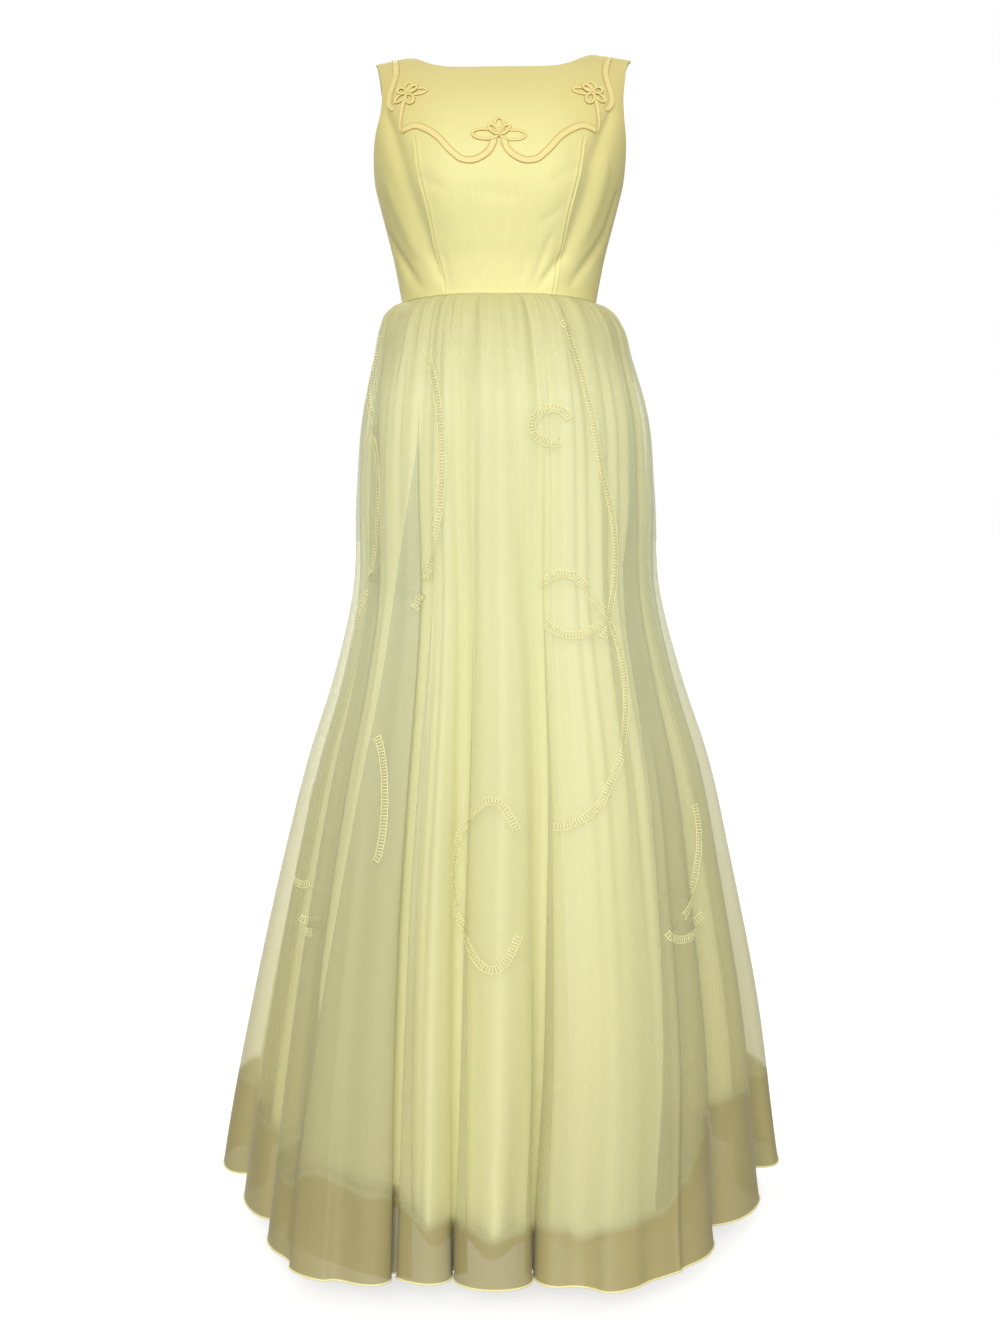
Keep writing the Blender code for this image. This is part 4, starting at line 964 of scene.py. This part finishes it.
def keepInside(points):
    z = points[..., 2]
    shift = skirtCurve["shift"](-z)
    x = points[..., 0] - shift
    turn = np.arctan2(x, -points[..., 1])
    place = envelopeColumns(x, points[..., 1]) - 0.5
    column = np.floor(place).astype(int)
    along = place - column
    column = column % envelopeForm["columns"]
    beside = (column + 1) % envelopeForm["columns"]
    row = np.clip(np.searchsorted(skirtRows, z), 1, len(skirtRows) - 1)
    high = np.clip((z - skirtRows[row - 1]) / (skirtRows[row] - skirtRows[row - 1]), 0.0, 1.0)
    lower, upper = [envelope[at, column] * (1 - along) + envelope[at, beside] * along
                    for at in (row - 1, row)]
    gap = np.minimum(envelopeForm["mostGap"], skirtCurve["gap"](-z) * envelopeForm["gapShare"])
    limit = lower + (upper - lower) * high - envelopeForm["clear"] - gap
    reach = np.minimum(np.hypot(x, points[..., 1]), limit)
    return np.stack([shift + reach * np.sin(turn), -reach * np.cos(turn), z], axis=-1)


# lining flutes: fold place, half width in folds, depth
dice = random.Random(11)
flutes = [(place + dice.uniform(-0.2, 0.2), dice.uniform(0.16, 0.30), dice.uniform(0.4, 1.0))
          for place in np.arange(0.3, 33.0, 0.72)]
fluteForm = {"depth": 0.0075, "top": -0.34, "full": -0.45, "fade": -0.85, "end": -1.25, "last": 0.25}
liningForm = {"clear": 0.0012, "gapShare": 0.55, "reliefShare": 0.8, "tuck": 0.5, "lean": 0.10}


def liningPoints(s):
    steps = (skirtTop - skirtRows) / (skirtTop - hemZ)
    z = skirtTop - steps[:, None] * (skirtTop - liningHem(s))[None, :]
    reach = foldsAt(s)["reach"] - folds[:, 2].min()
    inward = (liningForm["clear"] + skirtCurve["gap"](-z) * liningForm["gapShare"]
              + reach * skirtCurve["fold"](-z) * skirt["liningFold"])
    start = softStep((fluteForm["top"] - z) / (fluteForm["top"] - fluteForm["full"]))
    end = softStep((z - fluteForm["end"]) / (fluteForm["fade"] - fluteForm["end"]))
    fade = start * (fluteForm["last"] + (1 - fluteForm["last"]) * end)
    for place, width, depth in flutes:
        inward = inward + fluteForm["depth"] * depth * fade * np.exp(-((s[None, :] - place) / width) ** 2)
    inward = inward - liningForm["reliefShare"] * clothRelief(s[None, :], z, 1.0, 0.0)
    points = skirtPoints(s, z, inward=inward, tuck=liningForm["tuck"], lap=0.0, lean=liningForm["lean"])
    return liftWaist(tuckTop(keepInside(points)))


def liningShell(first, last):
    s = np.linspace(first, last, (last - first) * skirt["liningColumns"] + 1)
    points = liningPoints(s)
    return points, skirtUvs(s, points)


# where the lining's hem shows through the overskirt, which sets where the organza's painted shade begins: the
# deeper it hangs, the higher it looks
hemLine = {"steps": 50, "spread": 5, "soften": 3, "slope": 0.46, "sideSlope": 0.22}


def hemShown():
    places = np.linspace(0, lastFold, lastFold * hemLine["steps"] + 1)
    inner = liningPoints(places)[0]
    outer = skirtPoints(places, inner[:, 2])
    innerTurn, outerTurn = [np.unwrap(np.arctan2(edge[:, 0], -edge[:, 1])) for edge in (inner, outer)]
    innerTurn = np.maximum.accumulate(innerTurn)
    innerReach = np.interp(outerTurn, innerTurn, np.hypot(inner[:, 0], inner[:, 1]))
    gap = np.hypot(outer[:, 0], outer[:, 1]) - innerReach
    slope = hemLine["sideSlope"] + (hemLine["slope"] - hemLine["sideSlope"]) * np.cos(outerTurn) ** 2
    height = np.interp(outerTurn, innerTurn, inner[:, 2]) + slope * gap
    height = np.max(rolled(height, hemLine["spread"]), axis=0)
    return places, np.mean(rolled(height, hemLine["soften"]), axis=0)


hemPlaces, hemHeights = hemShown()


def overskirtShell(first, last):
    s = columnPlaces(first, last, skirt["columns"])
    s = np.concatenate([[s[0], s[0] + skirt["edgeColumn"]], s[1:-1], [s[-1] - skirt["edgeColumn"], s[-1]]])
    z = skirtRows[:, None]
    points = liftWaist(tuckTop(overskirtPoints(s[None, :], z)))
    above = np.stack(np.broadcast_arrays(s[None, :], z - np.interp(s, hemPlaces, hemHeights)), axis=2)
    return points, skirtUvs(s, points), np.concatenate([above.reshape(-1, 2)] * 2)


# each panel's names, and the folds that it runs between
skirtParts = (("Front", "front", leftSeam, rightSeam), ("BackLeft", "back_left", 0, leftSeam),
              ("BackRight", "back_right", rightSeam, lastFold))
overskirts = {}
for label, node, first, last in skirtParts:
    points, uvs, above = overskirtShell(first, last)
    piece = clothShell("overskirt" + label, points, skirt["wall"], skirt["rounding"], uvs, "organza")
    layPlaces(piece.data, "aboveLiningHem", above)
    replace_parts(piece, "overskirt_" + node)
    overskirts[label] = (piece, points)
print("overskirt made")

for label, node, first, last in skirtParts:
    points, uvs = liningShell(first, last)
    piece = clothShell("underskirt" + label, points, skirt["liningWall"], skirt["rounding"], uvs, "taffeta")
    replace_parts(piece, "underskirt_" + node)
print("underskirt made")

# rolled hem of the overskirt
hemRoll = {"radius": 0.0013, "sides": 7, "rise": 0.4}


def rolledHem():
    ring = np.concatenate([overskirts[label][1][0][:-1] for label in ("BackLeft", "Front", "BackRight")])
    up = np.array([0.0, 0.0, 1.0])
    out = np.cross(unit(np.roll(ring, -1, axis=0) - np.roll(ring, 1, axis=0)), up)
    rings = []
    for step in range(hemRoll["sides"]):
        turn = 2 * math.pi * step / hemRoll["sides"]
        rings.append(ring + hemRoll["radius"] * (math.cos(turn) * out + math.sin(turn) * up))
    rings = np.stack(rings, axis=1)
    rings[:, :, 2] += hemRoll["radius"] * hemRoll["rise"]
    parts = Parts()
    parts.add(*ringMesh(rings, True))
    return parts.piece("overskirtHem", "thread")


overskirtHem = rolledHem()


# surfaces that trim is laid on
class Bed:
    def __init__(self, points):
        rows, columns = points.shape[:2]
        self.tree = BVHTree.FromPolygons(points.reshape(-1, 3).tolist(), gridFaces(rows, columns).tolist())

    def seat(self, point, out):
        place, normal = self.tree.find_nearest(Vector(point))[:2]
        return np.array(place + normal * out), np.array(normal)


frontBed = Bed(frontPoints)


def frontPlace(x, z):
    level = levelAtZ(z)
    return frontBed.seat(bodyPoint(level, angleAtBreadth(level, x)), 0.0)


# half of a band's section, from its middle out: place across and height as shares
def bothHalves(half):
    return [(-place, rise) for place, rise in half[:0:-1]] + half


# padded braid: a band with a cord along each edge
braidSection = bothHalves([(0.0, 0.5), (0.07, 0.62), (0.2, 0.5), (0.31, 0.45), (0.36, 0.85), (0.41, 1.0),
                           (0.46, 0.9), (0.5, 0.55), (0.5, 0.0)])
braidForm = {"width": 0.0088, "height": 0.0014, "steps": 110, "lift": 0.0003, "taper": 0.02,
             "narrowest": 0.03}
shoulderRoute = [(0.1380, -0.0015), (0.1345, -0.0150), (0.1325, -0.0300), (0.1350, -0.0460),
                 (0.1390, -0.0620), (0.1385, -0.0740), (0.1330, -0.0810)]
scallopRoute = [(0.1220, -0.1120), (0.1140, -0.1095), (0.1040, -0.1075), (0.0900, -0.1130),
                (0.0750, -0.1240), (0.0600, -0.1410), (0.0460, -0.1520), (0.0320, -0.1530),
                (0.0205, -0.1480), (0.0125, -0.1415), (0.0078, -0.1330), (0.0062, -0.1245)]


def smoothPath(corners, steps):
    corners = np.asarray(corners, float)
    lengths = lengthsDown(corners)
    along = np.linspace(0.0, lengths[-1], steps + 1)
    curves = [smoothCurve(lengths, corners[:, axis]) for axis in range(corners.shape[1])]
    return np.stack([curve(along) for curve in curves], axis=1)


# rings of a band that lies on the front along a path, narrowed at its ends
def bandRings(path, width, height, section):
    rings = []
    count = len(path)
    for number, point in enumerate(path):
        run = path[min(number + 1, count - 1)] - path[max(number - 1, 0)]
        run = run / np.linalg.norm(run)
        seat, normal = frontBed.seat(point, 0.0)
        aside = np.cross(run, normal)
        aside /= np.linalg.norm(aside)
        end = min(1.0, min(number, count - 1 - number) / max(1.0, braidForm["taper"] * count))
        swell = math.sqrt(max(braidForm["narrowest"], 1 - (1 - end) ** 2))
        rings.append([frontBed.seat(seat + aside * across * width * swell,
                                    braidForm["lift"] + up * height * swell)[0] for across, up in section])
    return rings


# texture places across a band run from -5 to 5 mm whatever its width
def bandPlaces(section):
    return np.array([place * 0.01 for place, rise in section])


def addBraid(name, route, side, node):
    path = smoothPath([frontPlace(side * x, z)[0] for x, z in route], braidForm["steps"])
    rings = bandRings(path, braidForm["width"], braidForm["height"], braidSection)
    parts = Parts()
    parts.add(*ringMesh(rings, False, bandPlaces(braidSection)))
    piece = parts.piece(name, "braid")
    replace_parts(piece, node)
    return piece


# looped motifs: bands laid over each other round a hub
motifForm = {"band": 0.0036, "height": 0.0013, "overlap": 0.00025, "steps": 48, "stem": 0.0052,
             "stemSteps": 40, "hub": 0.0028, "hubSides": 14, "hubClear": 0.2,
             "sideAt": (0.116, -0.0625), "centreAt": (0.0, -0.122)}
motifSection = bothHalves([(0.0, 0.45), (0.22, 0.4), (0.32, 0.9), (0.42, 1.0), (0.5, 0.55), (0.5, 0.0)])
hubRings = [(0.0, 1.0), (0.7, 0.95), (1.1, 0.75), (1.3, 0.4)]  # height and radius as shares
# turn, length and breadth of each loop
centreLoops = [(1, 0.0345, 0.0165), (90, 0.0245, 0.0155), (179, 0.0345, 0.0165), (46, 0.0190, 0.0110),
               (134, 0.0190, 0.0110)]
sideLoops = [(86, 0.0200, 0.0145), (170, 0.0270, 0.0135), (322, 0.0190, 0.0130), (238, 0.0200, 0.0135),
             (28, 0.0170, 0.0120), (132, 0.0165, 0.0120)]
sideStem = [(0.1175, -0.0660), (0.1205, -0.0780), (0.1225, -0.0920), (0.1235, -0.1040), (0.1225, -0.1125)]


def addMotif(name, x, z, side, loops, stem, node):
    centre, normal = frontPlace(x, z)
    across = np.cross((0.0, 0.0, 1.0), -normal)
    across *= np.sign(across[0]) / np.linalg.norm(across)
    up = np.cross(across, normal)
    up *= np.sign(up[2]) / np.linalg.norm(up)
    parts = Parts()
    for number, (turn, length, breadth) in enumerate(loops):
        spin = math.radians(turn if side > 0 else 180 - turn)
        start = length / 2 + motifForm["hub"] * motifForm["hubClear"]
        rings = []
        for step in range(motifForm["steps"]):
            phase = 2 * math.pi * step / motifForm["steps"]
            along = start + (length - motifForm["band"]) / 2 * math.cos(phase)
            aside = (breadth - motifForm["band"]) / 2 * math.sin(phase)
            outX, outY = math.cos(phase) * breadth, math.sin(phase) * length
            scale = math.hypot(outX, outY)
            ring = []
            for place, rise in motifSection:
                flatX = along + outX / scale * place * motifForm["band"]
                flatY = aside + outY / scale * place * motifForm["band"]
                px = flatX * math.cos(spin) - flatY * math.sin(spin)
                py = flatX * math.sin(spin) + flatY * math.cos(spin)
                lift = braidForm["lift"] + number * motifForm["overlap"] + rise * motifForm["height"]
                ring.append(frontBed.seat(centre + across * px + up * py, lift)[0])
            rings.append(ring)
        parts.add(*ringMesh(rings, True, bandPlaces(motifSection)))
    if stem:
        path = smoothPath([frontPlace(side * px, pz)[0] for px, pz in stem], motifForm["stemSteps"])
        rings = bandRings(path, motifForm["stem"], motifForm["height"], motifSection)
        parts.add(*ringMesh(rings, False, bandPlaces(motifSection)))
    rings = []
    for rise, radius in hubRings:
        ring = []
        for step in range(motifForm["hubSides"]):
            turn = 2 * math.pi * step / motifForm["hubSides"]
            px, py = [motifForm["hub"] * radius * value for value in (math.cos(turn), math.sin(turn))]
            lift = braidForm["lift"] + rise * motifForm["height"]
            ring.append(frontBed.seat(centre + across * px + up * py, lift)[0])
        rings.append(ring)
    parts.add(*ringMesh(rings, False))
    piece = parts.piece(name, "braid")
    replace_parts(piece, node)
    return piece


sideX, sideZ = motifForm["sideAt"]
for side, label in ((-1, "Left"), (1, "Right")):
    node = label.lower()
    addBraid("braidShoulder" + label, shoulderRoute, side, "braid_shoulder_" + node)
    addBraid("braidScallop" + label, scallopRoute, side, "braid_scallop_" + node)
    addMotif("motif" + label, side * sideX, sideZ, side, sideLoops, sideStem, "motif_" + node)
addMotif("motifCentre", *motifForm["centreAt"], 1, centreLoops, [], "motif_centre")
print("trim made")

# ladder-stitched scrolls on the overskirt: two ridges with rungs between them
scrollForm = {"width": 0.0086, "step": 0.0020, "edge": 0.0013, "rungWide": 0.0016, "rungHigh": 0.8,
              "height": 0.0004, "lift": 0.0003, "foldWidth": 0.07, "pathStep": 0.0015, "arcStep": 12,
              "sameBreadth": 0.002}
ridgeSection = [(-0.5, 0.0), (-0.3, 0.8), (0.3, 0.8), (0.5, 0.0)]  # place across and height as shares
rungRings = [(-0.92, 0.7), (-0.3, 1.0), (0.3, 1.0), (0.92, 0.7)]  # place across and size as shares
# each scroll is a run of arcs: centre x, centre z, breadth, height, start and end turn in degrees
scrolls = [
    [(0.048, -0.827, 0.1, 0.5, 74, 36), (0.06, -0.64, 0.088, 0.165, 34, -38)],
    [(0.066, -0.815, 0.094, 0.15, 58, -92)], [(0.066, -0.478, 0.024, 0.022, 20, 300)],
    [(0.078, -0.69, 0.034, 0.03, 150, 20)], [(0.092, -0.685, 0.05, 0.05, -140, -42)],
    [(-0.255, -0.56, 0.1, 0.23, 62, -62)], [(-0.158, -0.935, 0.016, 0.078, 74, -74)],
    [(-0.19, -0.52, 0.118, 0.25, 30, -48)], [(-0.01, -1.03, 0.044, 0.098, 40, 325)],
    [(0.215, -1.005, 0.046, 0.086, 30, -70)], [(0.236, -1.092, 0.03, 0.02, 195, 345)],
    [(-0.262, -1.06, 0.02, 0.008, 200, 340)], [(-0.246, -1.105, 0.012, 0.006, 200, 340)],
]


def scrollCorners(arcs):
    corners = []
    for x, z, breadth, height, start, end in arcs:
        steps = max(6, int(abs(end - start) / scrollForm["arcStep"]))
        for step in range(steps + 1):
            turn = math.radians(start + (end - start) * step / steps)
            corners.append((x + breadth * math.cos(turn), z + height * math.sin(turn)))
    return corners


def wrapped(s):
    return np.where(s > lastFold, s - lastFold, s)


# fold places across the front, or round the back from the right seam to the left one
def scrollGrid(behind):
    if behind:
        return np.concatenate([np.linspace(rightSeam, lastFold, 1500),
                               np.linspace(lastFold + 1, lastFold + leftSeam, 1500)])
    return np.linspace(leftSeam, rightSeam, 3000)


# the outermost cloth at each corner's breadth, as fold places and heights
def scrollPath(corners, behind):
    grid = scrollGrid(behind)
    way = -1 if behind else 1
    places = []
    for x, z in corners:
        ring = skirtPoints(wrapped(grid), np.full(len(grid), z))
        miss = np.abs(ring[:, 0] - way * x)
        near = miss < miss.min() + scrollForm["sameBreadth"]
        places.append((grid[np.where(near, ring[:, 1] * way, 9.0).argmin()], z))
    return places


# points on the cloth along a scroll, a step apart
def scrollPoints(arcs, behind):
    flat = np.array(scrollPath(scrollCorners(arcs), behind)) * (scrollForm["foldWidth"], 1.0)
    flat = smoothPath(flat, max(4, int(lengthsDown(flat)[-1] / scrollForm["pathStep"])))
    path = overskirtPoints(wrapped(flat[:, 0] / scrollForm["foldWidth"]), flat[:, 1])
    lengths = lengthsDown(path)
    even = np.arange(0.0, lengths[-1], scrollForm["step"])
    return np.stack([np.interp(even, lengths, path[:, axis]) for axis in range(3)], axis=1)


def stitchRing(bed, middle, way, width, high=1.0, size=1.0):
    return [bed.seat(middle + way * place * width * size,
                     scrollForm["lift"] + up * scrollForm["height"] * high * size)[0]
            for place, up in ridgeSection]


def addScrolls(name, points, behind):
    bed = Bed(points)
    parts = Parts()
    wide = scrollForm["width"] / 2
    for arcs in scrolls:
        path = scrollPoints(arcs, behind)
        run = unit(np.gradient(path, axis=0))
        aside = unit(np.cross(run, np.array([bed.seat(point, 0.0)[1] for point in path])))
        for side in (-1, 1):
            edge = path + aside * wide * side
            rings = [stitchRing(bed, middle, way, scrollForm["edge"]) for middle, way in zip(edge, aside)]
            parts.add(*ringMesh(rings, False))
        for number in range(1, len(path) - 1, 2):
            rings = []
            for across, size in rungRings:
                middle = path[number] + aside[number] * wide * across
                rings.append(stitchRing(bed, middle, run[number], scrollForm["rungWide"],
                                        scrollForm["rungHigh"], size))
            parts.add(*ringMesh(rings, False))
    return parts.piece(name, "thread")


backPoints = np.concatenate([overskirts["BackRight"][1], overskirts["BackLeft"][1]], axis=1)
scrollsFront = addScrolls("scrollsFront", overskirts["Front"][1], False)
scrollsBack = addScrolls("scrollsBack", backPoints, True)
print("scrolls made")


# zip: tapes and teeth along the centre back, slider and pull tab
def backPoint(level, x, out):
    x = np.asarray(x, float)
    angle = angleBehind(level, np.abs(x)) * np.where(x < 0, -1, 1)
    return bodyPoint(level, angle) + bodyNormal(level, 180.0 + 0 * angle) * out


spineLevels = np.linspace(0.0, body["backNeck"], 1200)
spineLengths = lengthsDown(backPoint(spineLevels, np.zeros(1200), 0.0))


def levelAtLength(length):
    return np.interp(length, spineLengths, spineLevels)


def addTape(side, label):
    bottom, top = zipForm["tapeEnds"]
    level = levelAtLength(np.linspace(bottom, spineLengths[-1] - top, 60))[:, None]
    across = np.linspace(*zipForm["tapeReach"], 10)
    x = across[::-1] if side > 0 else -across
    points = backPoint(level, x[None, :] + 0 * level, -zipForm["tapeDeep"])
    piece = clothShell("zipTape" + label, points, zipForm["tapeThick"], zipForm["tapeRounding"],
                       gridUvs(points), "tape")
    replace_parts(piece, "zip_tape_" + label.lower())


# a tooth's rings: place out from the middle line, size as a share
toothRings = [(-0.0006, 0.6), (0.0004, 1.0), (0.0016, 1.0), (0.0026, 0.7)]
toothCorners = [(-0.5, -0.5), (0.5, -0.5), (0.5, 0.5), (-0.5, 0.5)]


def addTeeth():
    parts = Parts()
    top = spineLengths[-1] - zipForm["topMargin"] - zipForm["sliderLength"]
    for number in range(int((top - zipForm["bottom"]) / (zipForm["pitch"] / 2))):
        middle = zipForm["bottom"] + number * zipForm["pitch"] / 2
        side = 1 if number % 2 else -1
        rings = []
        for reach, size in toothRings:
            ring = []
            for up, out in toothCorners:
                level = levelAtLength(middle + up * zipForm["toothHigh"] * size)
                depth = zipForm["toothAt"] + out * zipForm["toothDeep"] * size
                ring.append(backPoint(level, side * reach, depth))
            rings.append(ring[::-1] if side > 0 else ring)
        parts.add(*ringMesh(rings, False))
    return parts.piece("zipTeeth", "teeth")


addTape(-1, "Left")
addTape(1, "Right")
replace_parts(addTeeth(), "zip_chain")
for node in ("zip_slider", "zip_pull_tab"):
    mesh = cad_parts[node].data
    if mesh.materials:
        mesh.materials[0] = finishes["metal"].material
    else:
        mesh.materials.append(finishes["metal"].material)
print("zip made")
# floor and light
stage = {"floor": -1.53, "size": 30.0, "floorTone": 0.72, "floorGlow": 0.62, "bounce": 0.40, "backdrop": 1.0,
         "ambient": (0.36, 0.345, 0.30), "aim": (0.0, 0.0, -0.75)}
areaLights = [  # name, place, size, power, colour
    ("fill", (2.4, -2.0, 0.2), 2.0, 15.0, (0.98, 0.99, 1.0)),
    ("back", (0.6, 2.6, 1.0), 2.0, 12.0, (1.0, 1.0, 1.0)),
]
# soft suns: name, strength, direction, softness in degrees
suns = [("softbox", 2.44, (0.13, 0.88, -0.36), 40.0), ("backSoftbox", 1.7, (0.25, -0.88, -0.42), 40.0)]


def grey(tone):
    return (tone, tone, tone, 1.0)


# one shader for the camera, and another for the light that is thrown back
def blendSeen(tree, thrown, seen, end):
    path = tree.nodes.new("ShaderNodeLightPath")
    blend = tree.nodes.new("ShaderNodeMixShader")
    tree.links.new(path.outputs["Is Camera Ray"], blend.inputs[0])
    tree.links.new(thrown.outputs[0], blend.inputs[1])
    tree.links.new(seen.outputs[0], blend.inputs[2])
    tree.links.new(blend.outputs[0], tree.nodes[end].inputs[0])


# the floor looks white but throws little light back
def addFloor():
    half = stage["size"]
    mesh = bpy.data.meshes.new("floor")
    corners = [(-half, -half), (half, -half), (half, half), (-half, half)]
    mesh.from_pydata([(x, y, stage["floor"]) for x, y in corners], [], [(0, 1, 2, 3)])
    material = bpy.data.materials.new("floor")
    material.use_nodes = True
    tree = material.node_tree
    shader = tree.nodes["Principled BSDF"]
    values = {"Base Color": grey(stage["floorTone"]), "Roughness": 0.8, "Specular IOR Level": 0.1,
              "Emission Color": grey(1.0), "Emission Strength": stage["floorGlow"]}
    for socket, value in values.items():
        shader.inputs[socket].default_value = value
    dull = tree.nodes.new("ShaderNodeBsdfDiffuse")
    dull.inputs["Color"].default_value = grey(stage["bounce"])
    blendSeen(tree, dull, shader, "Material Output")
    mesh.materials.append(material)
    addObject("floor", mesh)


def addLight(name, kind, power, direction):
    lamp = bpy.data.lights.new(name, kind)
    lamp.energy = power
    light = addObject(name, lamp)
    light.rotation_euler = Vector(direction).to_track_quat("-Z", "Y").to_euler()
    return light


def addLights():
    for name, place, size, power, colour in areaLights:
        light = addLight(name, "AREA", power, Vector(stage["aim"]) - Vector(place))
        light.location = place
        light.data.size = size
        light.data.color = colour
    for name, strength, direction, softness in suns:
        light = addLight(name, "SUN", strength, direction)
        light.data.angle = math.radians(softness)


def addWorld():
    world = bpy.data.worlds.new("studio")
    world.use_nodes = True
    tree = world.node_tree
    backdrop = tree.nodes["Background"]
    backdrop.inputs["Color"].default_value = grey(stage["backdrop"])
    ambient = tree.nodes.new("ShaderNodeBackground")
    ambient.inputs["Color"].default_value = (*stage["ambient"], 1.0)
    blendSeen(tree, ambient, backdrop, "World Output")
    bpy.context.scene.world = world


addFloor()
addLights()
addWorld()
bpy.context.scene.view_settings.view_transform = "Standard"
bpy.context.scene.cycles.transparent_max_bounces = 24
print("stage made")
